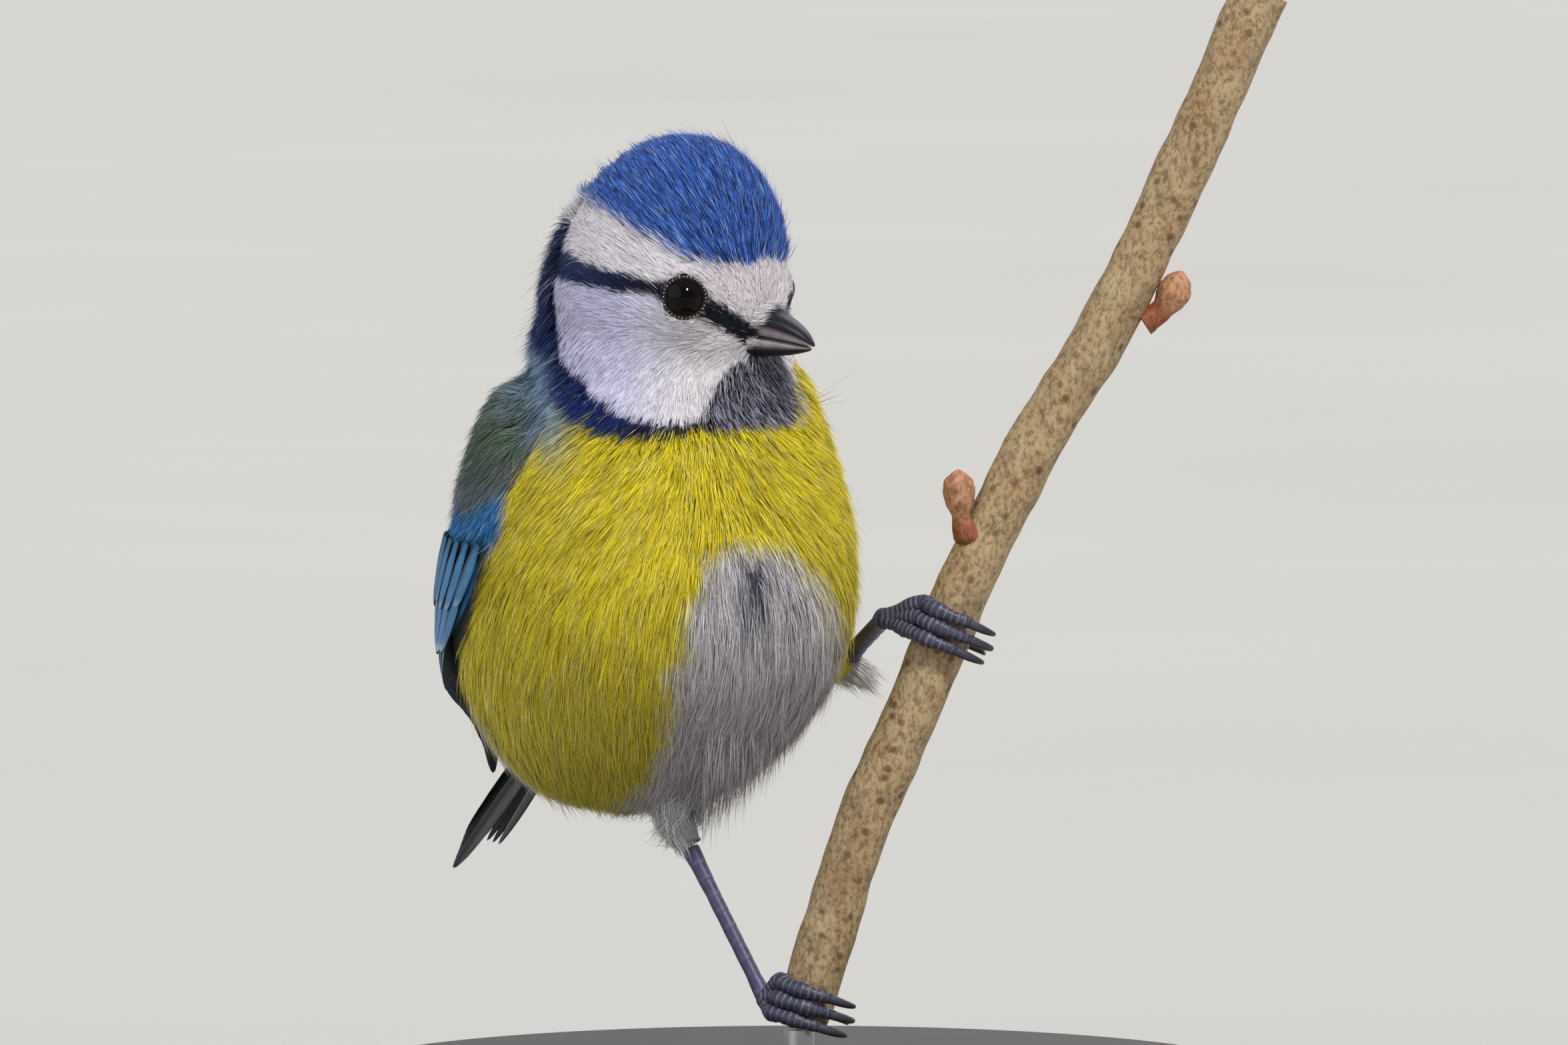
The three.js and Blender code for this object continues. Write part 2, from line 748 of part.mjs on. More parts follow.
function clawForm(foot, toe) {
  const frame = stemFrame(foot.height);
  const turn = toe.end > 180 ? 1 : -1;
  const reach = Math.abs(toe.claw - toe.end);
  const points = [];
  for (let i = 0; i <= 4; i += 1) {
    const share = i / 4;
    const degrees = toe.end + turn * (7 + (reach - 7) * share);
    const radius = GRIP + 0.35 + 0.9 * Math.sin(Math.PI * share * 0.8);
    points.push(roundStem(frame, degrees, radius, toe.along - 0.3 * share));
  }
  return limb(points, [CLAW_RADIUS, CLAW_RADIUS * 0.9, CLAW_RADIUS * 0.6, 0.12], 6, 7);
}

function tarsusForm(foot, grow = 0) {
  const base = footBase(foot);
  const points = [foot.ankle, foot.ankle.clone().lerp(base, 0.5), base];
  const radii = [1.15, TARSUS_RADIUS, TARSUS_RADIUS, 1.0];
  const shaft = limb(points, radii, 8, 6, grow);
  return shaft.add(ball(foot.ankle, TARSUS_RADIUS * 1.6 + grow, 8, 6));
}

function thighForm(foot) {
  const points = [foot.knee, foot.knee.clone().lerp(foot.ankle, 0.5), foot.ankle];
  return limb(points, [6, 5, 3.6, foot.tuft * 1.2, foot.tuft], 12, 7).subtract(tarsusForm(foot, GAP));
}

// Stem with its buds

function stemForm() {
  const shaft = limb(stemCurve.getSpacedPoints(10), [STEM_RADIUS, STEM_RADIUS], 12, 19);
  return shaft.intersect(above({ height: STEM_FOOT, rise: 0 }, 0));
}

// Each bud's line in the stem's plane, from its root to its tip, and its radii along it
const BUDS = [
  {
    line: [[37.6, -6, 21.4], [39.4, -6, 22.6], [40.8, -6, 24.6], [41.6, -6, 26.8]],
    radii: [1.5, 1.2, 1.8, 0.9],
  },
  {
    line: [[20.4, -6.4, -1.4], [18.7, -7.4, 0.2], [18.4, -7.8, 3], [18.2, -7.8, 6.1]],
    radii: [2, 0.8, 1.7, 0.8],
  },
];
const KNOBS = [
  { place: [18.9, -7, -1.7], radius: 1.3 },
  { place: [45.8, -6.5, 54.2], radius: 1.5 },
];

function budForm(bud) {
  return limb(bud.line.map((place) => inPlane(...place)), bud.radii, 8, 7);
}

function knobForm(knob) {
  return ball(inPlane(...knob.place), knob.radius, 8, 6);
}

// Assembly

const bird = new THREE.Group();
const stemBody = joined([stemForm(), ...BUDS.map(budForm), ...KNOBS.map(knobForm)]);
const headCut = above(HEAD_CUT, -GAP / 2);
const neckCut = above(NECK_CUT, GAP / 2);
const trunkCut = above(NECK_CUT, -GAP / 2);
const pocketed = (body, grow) =>
  [-1, 1].reduce(
    (left, side) => left.subtract(wingPlate(side, -WING_INNER - grow, POCKET_OUT, grow)),
    body,
  );
const torsoBody = pocketed(flesh, POCKET_GROW).subtract(trunkCut);
const keepOut = pocketed(fleshGrown, POCKET_GROW - GAP).add(tailCore(CLEAR)).add(tailSpace(GAP));

bird.add(mesh("head", headBody(), material(BLUE)));
const neckBody = pocketed(flesh, POCKET_GROW).intersect(neckCut).subtract(headCut);
bird.add(mesh("neck", neckBody, material(NAVY)));
bird.add(mesh("torso", torsoBody, material(YELLOW)));
bird.add(mesh("bill_upper", billUpper(), material(DARK, 0.4)));
bird.add(mesh("bill_lower", billForm(BILL_LOWER).subtract(fleshGrown), material(DARK, 0.4)));
for (const [name, side] of [["left", 1], ["right", -1]]) {
  const foot = FEET[name];
  const footBody = footForm(foot);
  const tarsus = tarsusForm(foot).subtract(ball(footBase(foot), TOE_RADIUS * 1.7 + CLEAR, 8, 6));
  bird.add(mesh("eye_" + name, ball(eyeCentre(side).centre, EYE_RADIUS), material(DARK, 0.05)));
  bird.add(mesh("wing_" + name, wing(side).subtract(keepOut), material(BLUE)));
  bird.add(mesh("thigh_" + name, thighForm(foot).subtract(fleshGrown), material(WHITE)));
  bird.add(mesh("tarsus_" + name, tarsus, material(SLATE, 0.5)));
  bird.add(mesh("foot_" + name, footBody, material(SLATE, 0.5)));
  foot.toes.forEach((toe, i) => {
    bird.add(mesh("claw_" + name + "_" + (i + 1), clawForm(foot, toe), material(DARK, 0.35)));
  });
}
bird.add(mesh("tail", joined([tailCore(0), ...tailVanes()]).subtract(fleshGrown), material(NAVY)));
bird.add(mesh("perch_stem", stemBody, material(BARK)));

const rodPlace = inPlane(ROD_ACROSS, STEM_DEPTH, STEM_FOOT);
bird.position.set(-rodPlace.x, -rodPlace.y, LIFT);

function turned(outline, sides) {
  const points = outline.map(([radius, height]) => new THREE.Vector2(radius, height));
  return solid(new THREE.LatheGeometry(points, sides).rotateX(Math.PI / 2));
}

const group = new THREE.Group();
group.add(bird);
const baseOutline = [
  [0, 0],
  [BASE_RADIUS, 0],
  [BASE_RADIUS, BASE_HEIGHT - BASE_BEVEL],
  [BASE_RADIUS - BASE_BEVEL, BASE_HEIGHT],
  [0, BASE_HEIGHT],
];
const rodLow = BASE_HEIGHT + GAP;
const rodOutline = [
  [0, rodLow],
  [ROD_RADIUS, rodLow],
  [ROD_RADIUS, rodLow + ROD_HEIGHT],
  [0, rodLow + ROD_HEIGHT],
];
group.add(mesh("stand_base", turned(baseOutline, 40), material(BASE_STAIN, 0.6)));
group.add(mesh("stand_rod", turned(rodOutline, 16), material(STEEL, 0.3, 1)));

export default group;
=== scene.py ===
# A blue tit that grips a leaning stem, on its plain stand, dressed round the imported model.
# Shapes are worked out in the bird's own millimetres, as in the part's source: it faces -Y, its
# left side is +X, up is +Z, and zero is the middle of its breast. Meshes are written in metres.
import math

import bmesh
import bpy
import numpy as np
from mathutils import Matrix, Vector
from mathutils.bvhtree import BVHTree


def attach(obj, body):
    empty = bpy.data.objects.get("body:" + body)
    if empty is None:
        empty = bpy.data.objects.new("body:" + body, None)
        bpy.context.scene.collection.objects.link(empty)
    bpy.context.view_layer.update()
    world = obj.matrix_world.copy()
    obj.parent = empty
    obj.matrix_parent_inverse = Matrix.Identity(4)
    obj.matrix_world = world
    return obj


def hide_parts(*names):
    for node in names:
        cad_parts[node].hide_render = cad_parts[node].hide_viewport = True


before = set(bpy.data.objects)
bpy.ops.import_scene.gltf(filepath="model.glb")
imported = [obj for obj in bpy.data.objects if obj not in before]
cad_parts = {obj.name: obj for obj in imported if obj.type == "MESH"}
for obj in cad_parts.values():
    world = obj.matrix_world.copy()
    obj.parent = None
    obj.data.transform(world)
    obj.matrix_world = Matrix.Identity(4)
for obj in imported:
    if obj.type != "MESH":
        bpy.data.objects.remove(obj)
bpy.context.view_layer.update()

# Sizes shared with the part's source
MM = 0.001
BASE_RADIUS = 50.0
BASE_HEIGHT = 7.0
GAP = 0.3
ROD_HEIGHT = 4.0
ROD_RADIUS = 1.6
STEM_FOOT = -52.6
STEM_DEPTH = -6.0
STEM_RADIUS = 3.0
ROD_ACROSS = 1.6
PLANE_TURN = math.radians(27)
PLANE_SHIFT = 14.0
LIFT = BASE_HEIGHT + GAP + ROD_HEIGHT + GAP - STEM_FOOT
STEM_LINE = [
    (-0.3, -58),
    (1.6, -52.6),
    (8.0, -32),
    (13.2, -20),
    (19.0, -6),
    (26.4, 9),
    (34.0, 21.5),
    (42.6, 39.5),
    (50.2, 57),
]
HEAD_CENTRE = np.array([0, -3.7, 24.0])
HEAD_TURN = math.radians(30)
HEAD_LENGTH = 13.5
HEAD_WIDTH = 12.5
EYE_PLACE = (8.6, 9.6, 0.6)
EYE_RADIUS = 2.5
EYE_SUNK = 1.6

# Trunk and folded wing at each height: front, back and half width, and the wing's span in degrees
TRUNK_Z = [-31.2, -30.2, -28, -24, -18, -12, -6, 1, 7, 12, 17, 23, 28]
TRUNK_FRONT = [4, -1, -5.6, -12, -18.2, -21.6, -22.8, -21.6, -19, -16.8, -15.2, -13.4, -4]
WING_Z = [-27, -24, -20, -15, -9, -3, 3, 9, 14, 16.5]
WING_BACK = [30.8, 28.8, 26.2, 23.4, 21.9, 20.7, 18.9, 16.4, 13.6, 12.4]
WING_HALF = [13, 15.5, 18, 20.1, 21.1, 21.2, 20.7, 19.4, 17.4, 15.6]
WING_FROM = [-76, -69, -50, -22, 0, 9, 17, 20, -4, -42]
WING_TO = [-78, -82, -82, -80, -78, -76, -74, -70, -62, -48]
LEFT_WING_BACK = 21.0  # the left wing's front edge lies under the flank's feathers
WING_TOP = 16.5
WING_TIP = -27.0

TAIL_ROOT = np.array([-0.8, 7.2, -12.3])
TAIL_TIP = np.array([-1.4, 40.6, -37.2])
TAIL_ROLL = math.radians(24)
TAIL_HALF = 5.2

# The photograph's view
VIEW_AZIMUTH = math.radians(-27)
VIEW_ELEVATION = math.radians(4)
VIEW_DISTANCE = 2000.0
VIEW_WIDTH = 164.64
SENSOR = 36.0


def unit(v):
    v = np.asarray(v, dtype=float)
    return v / np.maximum(np.linalg.norm(v, axis=-1, keepdims=True), 1e-9)


def ramp(x, low, high):
    """0 below low, 1 above high, smooth between; low may be the larger."""
    t = np.clip((np.asarray(x, dtype=float) - low) / (high - low), 0, 1)
    return t * t * (3 - 2 * t)


def mix(a, b, share):
    return a + (b - a) * share


def in_plane(across, depth, height):
    """A place in the stem's plane, in the bird's axes."""
    c = math.cos(PLANE_TURN)
    s = math.sin(PLANE_TURN)
    a = across + PLANE_SHIFT
    return np.array([c * a + s * depth, c * depth - s * a, height])


ROD_PLACE = in_plane(ROD_ACROSS, STEM_DEPTH, STEM_FOOT)
MIDDLE = np.array([-ROD_PLACE[0], -ROD_PLACE[1], LIFT])


def to_row(points):
    return (np.asarray(points, dtype=float) + MIDDLE) * MM


def to_bird(points):
    return np.asarray(points, dtype=float) / MM - MIDDLE


def in_head(forward, left, up):
    c = math.cos(HEAD_TURN)
    s = math.sin(HEAD_TURN)
    x = HEAD_CENTRE[0] + s * forward + c * left
    y = HEAD_CENTRE[1] - c * forward + s * left
    return np.stack([x, y, HEAD_CENTRE[2] + up + 0 * x], axis=-1)


def head_axes(points):
    """Forward, left and up from the head's centre, for each point."""
    d = points - HEAD_CENTRE
    c = math.cos(HEAD_TURN)
    s = math.sin(HEAD_TURN)
    return s * d[:, 0] - c * d[:, 1], c * d[:, 0] + s * d[:, 1], d[:, 2]


def rng_noise(points, scale, seed):
    """Smooth noise from -1 to 1, as a sum of waves in seeded directions."""
    waves = np.random.default_rng(seed)
    total = np.zeros(len(points))
    for octave in range(4):
        for _ in range(4):
            way = unit(waves.normal(size=3)) * (1.7**octave) / scale
            total += np.sin(points @ way * 2 * math.pi + waves.uniform(0, 6.28)) / (1.5**octave)
    return np.clip(total / 5.0, -1, 1)


# Meshes


def build(name, points, polygons, tint=None, uv=None, uv_name="OFBake", smooth=True, normals=None):
    """A mesh object from points in the bird's millimetres and arrays of polygon corners."""
    data = bpy.data.meshes.new(name)
    corners = np.concatenate([p.ravel() for p in polygons]).astype(np.int32)
    sizes = np.concatenate([np.full(len(p), p.shape[1]) for p in polygons])
    starts = np.concatenate([[0], np.cumsum(sizes)[:-1]]).astype(np.int32)
    data.vertices.add(len(points))
    data.vertices.foreach_set("co", to_row(points).astype(np.float32).ravel())
    data.loops.add(len(corners))
    data.loops.foreach_set("vertex_index", corners)
    data.polygons.add(len(sizes))
    data.polygons.foreach_set("loop_start", starts)
    data.polygons.foreach_set("use_smooth", np.full(len(sizes), smooth))
    data.update(calc_edges=True)
    if tint is not None:
        colour = np.ones((len(points), 4), dtype=np.float32)
        colour[:, :3] = np.clip(tint, 0, 1)
        layer = data.color_attributes.new("tint", "FLOAT_COLOR", "POINT")
        layer.data.foreach_set("color", colour.ravel())
    if uv is not None:
        layer = data.uv_layers.new(name=uv_name)
        layer.data.foreach_set("uv", uv[corners].astype(np.float32).ravel())
    if normals is not None:
        data.normals_split_custom_set_from_vertices(normals.astype(np.float32))
    piece = bpy.data.objects.new(name, data)
    bpy.context.scene.collection.objects.link(piece)
    return piece


def grid_faces(rows, columns, closed):
    """Quads of a grid of points, wrapped round its columns if closed."""
    i = np.arange(rows - 1)[:, None]
    j = np.arange(columns if closed else columns - 1)[None, :]
    k = (j + 1) % columns
    a = i * columns + j
    b = i * columns + k
    return np.stack([a, b, b + columns, a + columns], axis=-1).reshape(-1, 4)


def joined(parts):
    """One set of points, polygons and tints from several."""
    points = []
    polygons = []
    tints = []
    first = 0
    for part_points, part_polygons, part_tint in parts:
        points.append(part_points)
        tints.append(np.broadcast_to(part_tint, part_points.shape))
        polygons.extend(p + first for p in part_polygons)
        first += len(part_points)
    return np.concatenate(points), polygons, np.concatenate(tints)


def spline(points, count):
    """Evenly spaced points on a smooth line through the given ones."""
    p = np.asarray(points, dtype=float)
    p = np.concatenate([[2 * p[0] - p[1]], p, [2 * p[-1] - p[-2]]])
    fine = []
    for i in range(1, len(p) - 2):
        for t in np.linspace(0, 1, 16, endpoint=False):
            a, b, c, d = p[i - 1], p[i], p[i + 1], p[i + 2]
            fine.append(
                0.5
                * (
                    2 * b
                    + (c - a) * t
                    + (2 * a - 5 * b + 4 * c - d) * t * t
                    + (3 * b - a - 3 * c + d) * t**3
                )
            )
    fine.append(p[-2])
    fine = np.array(fine)
    length = np.concatenate([[0], np.cumsum(np.linalg.norm(np.diff(fine, axis=0), axis=1))])
    at = np.linspace(0, length[-1], count)
    return np.stack([np.interp(at, length, fine[:, k]) for k in range(3)], axis=-1)


def line_frames(line, up=(0, 0, 1)):
    """Tangent and two cross directions at each point of a line, without twist."""
    tangent = unit(np.gradient(line, axis=0))
    side = unit(np.cross(tangent[0], up))
    sides = []
    for t in tangent:
        side = unit(side - t * np.dot(side, t))
        sides.append(side)
    sides = np.array(sides)
    return tangent, sides, np.cross(sides, tangent)


def tube(line, radii, sides, bumps=None):
    """Points and polygons of a closed tube along a line; bumps(along, around) adds to its radius."""
    _, a, b = line_frames(line)
    around = np.arange(sides) * 2 * math.pi / sides
    radii = np.asarray(radii)[:, None] * np.ones(sides)[None, :]
    if bumps is not None:
        length = np.concatenate([[0], np.cumsum(np.linalg.norm(np.diff(line, axis=0), axis=1))])
        radii = radii + bumps(length[:, None], around[None, :])
    points = (
        line[:, None, :]
        + a[:, None, :] * (np.cos(around)[None, :] * radii)[..., None]
        + b[:, None, :] * (np.sin(around)[None, :] * radii)[..., None]
    ).reshape(-1, 3)
    rows = len(line)
    quads = grid_faces(rows, sides, True)
    points = np.concatenate([points, line[:1], line[-1:]])
    ring = np.arange(sides)
    start = np.stack([np.full(sides, rows * sides), (ring + 1) % sides, ring], axis=-1)
    last = (rows - 1) * sides
    end = np.stack([np.full(sides, rows * sides + 1), last + ring, last + (ring + 1) % sides], axis=-1)
    return points, [quads, start, end]


# Materials


def material(name):
    look = bpy.data.materials.new(name)
    look.use_nodes = True
    nodes = look.node_tree.nodes
    return look, nodes, look.node_tree.links, nodes["Principled BSDF"]


def node(nodes, kind, **values):
    made = nodes.new(kind)
    for key, value in values.items():
        if key in made.inputs:
            made.inputs[key].default_value = value
        else:
            setattr(made, key, value)
    return made


def noise_node(nodes, links, scale, detail=3.0, rough=0.55, stretch=None):
    """A noise texture in object space, in features a metre; stretch scales each axis."""
    where = node(nodes, "ShaderNodeTexCoord")
    source = where.outputs["Object"]
    if stretch is not None:
        mapping = node(nodes, "ShaderNodeMapping")
        mapping.inputs["Scale"].default_value = stretch
        links.new(source, mapping.inputs["Vector"])
        source = mapping.outputs["Vector"]
    noise = node(nodes, "ShaderNodeTexNoise", Scale=scale, Detail=detail, Roughness=rough)
    links.new(source, noise.inputs["Vector"])
    return noise


def stops(nodes, links, source, colours):
    """A colour ramp with (place, colour) stops."""
    made = node(nodes, "ShaderNodeValToRGB")
    points = made.color_ramp.elements
    while len(points) < len(colours):
        points.new(0.5)
    for element, (place, colour) in zip(points, colours):
        element.position = place
        element.color = (*colour, 1)
    links.new(source, made.inputs["Fac"])
    return made.outputs["Color"]


def blended(nodes, links, kind, share, a, b):
    """A colour mix of two sources, or of a source and a fixed colour."""
    made = node(nodes, "ShaderNodeMix", data_type="RGBA", blend_type=kind)
    made.inputs[0].default_value = share if isinstance(share, float) else 0.5
    if not isinstance(share, float):
        links.new(share, made.inputs[0])
    for socket, source in ((6, a), (7, b)):
        if isinstance(source, tuple):
            made.inputs[socket].default_value = (*source, 1)
        else:
            links.new(source, made.inputs[socket])
    return made.outputs[2]


def add_bump(nodes, links, shader, height, strength, distance):
    made = node(nodes, "ShaderNodeBump", Strength=strength, Distance=distance)
    links.new(height, made.inputs["Height"])
    links.new(made.outputs["Normal"], shader.inputs["Normal"])


def plumage_material(name, roughness=0.8, vary=0.12):
    """Strands and skin: their own tint, varied finely over the coat."""
    look, nodes, links, shader = material(name)
    tint = node(nodes, "ShaderNodeAttribute", attribute_name="tint")
    fine = noise_node(nodes, links, 2600, 2)
    grey = stops(nodes, links, fine.outputs["Fac"], [(0.3, (1 - vary,) * 3), (0.7, (1,) * 3)])
    broad = noise_node(nodes, links, 260, 3)
    soft = stops(nodes, links, broad.outputs["Fac"], [(0.3, (0.9,) * 3), (0.7, (1,) * 3)])
    colour = blended(nodes, links, "MULTIPLY", 1.0, tint.outputs["Color"], grey)
    colour = blended(nodes, links, "MULTIPLY", 1.0, colour, soft)
    links.new(colour, shader.inputs["Base Color"])
    shader.inputs["Roughness"].default_value = roughness
    shader.inputs["Specular IOR Level"].default_value = 0.18
    shader.inputs["Sheen Weight"].default_value = 0.06
    shader.inputs["Sheen Roughness"].default_value = 0.5
    return look


BARBS_A_MM = 3.2


def vane_material(name):
    """Blades: their own tint, with fine barb lines that slant from the shaft."""
    look, nodes, links, shader = material(name)
    tint = node(nodes, "ShaderNodeAttribute", attribute_name="tint")
    where = node(nodes, "ShaderNodeUVMap", uv_map="Blade")
    split = node(nodes, "ShaderNodeSeparateXYZ")
    links.new(where.outputs["UV"], split.inputs[0])
    away = node(nodes, "ShaderNodeMath", operation="ABSOLUTE")
    links.new(split.outputs["Y"], away.inputs[0])
    slant = node(nodes, "ShaderNodeMath", operation="SUBTRACT")
    links.new(split.outputs["X"], slant.inputs[0])
    links.new(away.outputs[0], slant.inputs[1])
    turns = node(nodes, "ShaderNodeMath", operation="MULTIPLY")
    turns.inputs[1].default_value = 2 * math.pi * BARBS_A_MM
    links.new(slant.outputs[0], turns.inputs[0])
    wave = node(nodes, "ShaderNodeMath", operation="SINE")
    links.new(turns.outputs[0], wave.inputs[0])
    level = node(nodes, "ShaderNodeMapRange")
    level.inputs["From Min"].default_value = -1
    links.new(wave.outputs[0], level.inputs["Value"])
    grey = stops(nodes, links, level.outputs["Result"], [(0.0, (0.68,) * 3), (0.6, (1,) * 3)])
    colour = blended(nodes, links, "MULTIPLY", 1.0, tint.outputs["Color"], grey)
    cloud = noise_node(nodes, links, 700, 4)
    shade = stops(nodes, links, cloud.outputs["Fac"], [(0.3, (0.8,) * 3), (0.65, (1,) * 3)])
    colour = blended(nodes, links, "MULTIPLY", 1.0, colour, shade)
    links.new(colour, shader.inputs["Base Color"])
    shader.inputs["Roughness"].default_value = 0.5
    shader.inputs["Specular IOR Level"].default_value = 0.35
    add_bump(nodes, links, shader, level.outputs["Result"], 0.5, 0.00006)
    return look


# Colours, in linear light


def srgb(red, green, blue):
    c = np.array([red, green, blue]) / 255.0
    return np.where(c <= 0.04045, c / 12.92, ((c + 0.055) / 1.055) ** 2.4)


CAP_BLUE = srgb(58, 102, 192)
CAP_DEEP = srgb(22, 34, 92)
CAP_PALE = srgb(136, 176, 236)
FACE_WHITE = srgb(248, 244, 252)
BROW_WHITE = srgb(238, 231, 238)
CHEEK_LAVENDER = srgb(220, 218, 248)
STRIPE_DARK = srgb(20, 22, 38)
STRIPE_BLUE = srgb(34, 52, 98)
COLLAR_NAVY = srgb(28, 46, 106)
COLLAR_BLUE = srgb(54, 88, 158)
COLLAR_DARK = srgb(26, 28, 52)
BIB_DARK = srgb(34, 34, 50)
BIB_GREY = srgb(176, 176, 198)
NAPE_PALE = srgb(134, 164, 196)
MANTLE = srgb(92, 112, 92)
MANTLE_GREY = srgb(98, 104, 104)
SHOULDER_GREY = srgb(112, 120, 132)
LESSER_BLUE = srgb(48, 112, 196)
COVERT_BLUE = srgb(70, 138, 190)
YELLOW = srgb(240, 221, 40)
YELLOW_PALE = srgb(238, 226, 128)
OLIVE = srgb(164, 152, 44)
BELLY_GREY = srgb(214, 210, 218)
BELLY_DARK = srgb(78, 80, 104)
SPOT_DARK = srgb(52, 58, 84)
RUMP_BLUE = srgb(96, 132, 150)
DOWN_DARK = srgb(60, 58, 62)
THIGH_WHITE = srgb(240, 236, 238)

# The pale patch on the belly: its edges on the bird's right and left, at each height
PATCH_Z = [-31, -22, -14, -9, -5, -1]
PATCH_RIGHT = [-3, -4.5, -6.4, -5.4, -3.5, -1]
PATCH_LEFT = [16, 17.5, 17, 13.2, 9.5, 4]

# Heights of the head's markings above the head's centre, by turn from the bill in degrees
TURN = {
    "cap": [0, 15, 41, 49, 57, 76, 95, 125, 150, 180],
    "stripe": [0, 15, 33, 50, 63, 78, 96, 112, 130, 180],
    "cheek": [0, 12, 24, 33, 38, 42, 52, 63, 71, 80, 91, 100, 116, 128, 133, 138, 180],
    "collar": [0, 20, 42, 49, 63, 76, 85, 96, 104, 115, 124, 150, 180],
}
HEIGHT = {
    "cap": [4.5, 3.9, 4.3, 5.1, 6.0, 7.8, 9.2, 10.4, 10.9, 11.2],
    "stripe": [-3.6, -3.3, -1.1, 0.6, 1.6, 2.0, 2.5, 2.9, 3.5, 4.8],
    "cheek": [-5, -5.9, -8.2, -10.5, -12.2, -12.4, -12.7, -12.8, -12.4, -11.5, -10.3, -8.4]
    + [-6.8, -3.1, -0.4, 3.4, 6],
    "collar": [-13.2, -13.5, -13.6, -14.2, -14.2, -14.2, -13.8, -12.7, -11.2, -8.9, -6.6, -4.4, -3],
}


def head_turn(points):
    """Degrees from the bill to either side, and the height above the head's centre."""
    forward, left, up = head_axes(points)
    return np.degrees(np.arctan2(np.abs(left), forward)), up


def girth(points):
    """Degrees round the trunk from its side to its front, and the height."""
    z = points[:, 2]
    front = np.interp(z, TRUNK_Z, TRUNK_FRONT)
    back = np.interp(z, WING_Z, WING_BACK)
    half = np.interp(z, WING_Z, WING_HALF)
    depth = (back - front) / 2
    middle = (front + back) / 2
    return np.degrees(np.arctan2(-(points[:, 1] - middle) / depth, np.abs(points[:, 0]) / half)), z


def wing_across(points):
    """Place across the folded wing, from 0 at its front edge to 1 at its back edge."""
    angle, z = girth(points)
    start = np.interp(z, WING_Z, WING_FROM) - np.where(points[:, 0] > 0, LEFT_WING_BACK, 0)
    end = np.interp(z, WING_Z, WING_TO)
    return (start - angle) / np.maximum(start - end, 1)


def in_view(points):
    """Places across the photo's plane."""
    return points[:, 0] * math.cos(PLANE_TURN) + points[:, 1] * math.sin(-PLANE_TURN) - PLANE_SHIFT


def beside_bib(points):
    """Share of the yellow that stands up beside the bib, on the bird's left."""
    z = points[:, 2]
    edge = np.interp(z, [9.0, 10.5, 13.0, 16.0], [0.5, 1.0, 1.6, 1.0])
    share = ramp(in_view(points), edge - 0.25, edge + 0.25) * ramp(z, 17.6, 16.6)
    return share * ramp(z, 6.5, 8) * ramp(points[:, 1], -4, -8)


# Where the mantle meets the flank at each height, in degrees of girth
MANTLE_Z = [-27, -15, -9, -3, 3, 9, 12, 17]
MANTLE_FROM = [-60, -24, -4, 6, 14, 21, 24, 30]


def mantle_edge(points):
    edge = np.interp(points[:, 2], MANTLE_Z, MANTLE_FROM)
    return edge - np.where(points[:, 0] > 0, LEFT_WING_BACK, 0)


def over(base, colour, share):
    return base + (colour - base) * share[:, None]


def body_markings(points):
    angle, z = girth(points)
    wobble = rng_noise(points, 9, 3)
    x = points[:, 0]
    colour = np.tile(YELLOW, (len(points), 1))
    clump = rng_noise(points, 7, 11)
    colour = over(colour, OLIVE, 0.3 * ramp(clump, 0.0, 0.8))
    colour = over(colour, YELLOW_PALE, 0.35 * ramp(rng_noise(points, 5, 12), 0.2, 0.9))
    low = ramp(z, -4, -24)
    colour = over(colour, srgb(206, 196, 84), 0.45 * low)
    front = ramp(points[:, 1], 6, -4)
    right_edge = np.interp(z, PATCH_Z, PATCH_RIGHT)
    left_edge = np.interp(z, PATCH_Z, PATCH_LEFT)
    drift = 1.8 * wobble
    belly = ramp(x + drift, right_edge - 2, right_edge + 1.6)
    belly = belly * ramp(x - drift, left_edge + 2.2, left_edge - 2)
    belly = belly * front * ramp(z, -0.2, -3.4)
    rim = ramp(x, left_edge - 5, left_edge - 1) * ramp(z, -18, -12)
    colour = over(colour, mix(BELLY_GREY, YELLOW_PALE, 0.5), belly)
    colour = over(colour, BELLY_GREY, belly * (1 - 0.8 * rim))
    colour = over(colour, BELLY_DARK, 0.22 * belly * ramp(rng_noise(points, 6, 21), 0.1, 0.9))
    spot = ramp(np.abs(x - 1.0) + 1.2 * wobble, 3.4, 0.6)
    spot = spot * ramp(z + wobble, -12.5, -8) * ramp(z, -1.4, -4.5)
    colour = over(colour, SPOT_DARK, 0.92 * spot * front)
    under = ramp(points[:, 1], 2, 12) * ramp(z, -17, -23)
    colour = over(colour, BELLY_GREY, 0.75 * under)
    edge = mantle_edge(points)
    back = ramp(angle + 4 * wobble, edge + 2.5, edge - 2.5)
    mantle = mix(MANTLE, MANTLE_GREY, ramp(rng_noise(points, 5, 31), -0.3, 0.7)[:, None])
    mantle = over(mantle, SHOULDER_GREY, 0.85 * ramp(z, 6.5, 3.5) * ramp(z, -8, -4))
    mantle = over(mantle, RUMP_BLUE, 0.6 * ramp(z, -12, -22))
    covert = ramp(wing_across(points), 0.0, 0.03) * ramp(wing_across(points), 0.99, 0.95)
    covert = covert * ramp(z + 7 * wing_across(points) + 1.2 * wobble, 4.2, 3.0) * ramp(z, -9, -8)
    mantle = over(mantle, mix(LESSER_BLUE, COVERT_BLUE, 0.7), covert)
    colour = over(colour, 0, back)
    return colour + mantle * back[:, None]


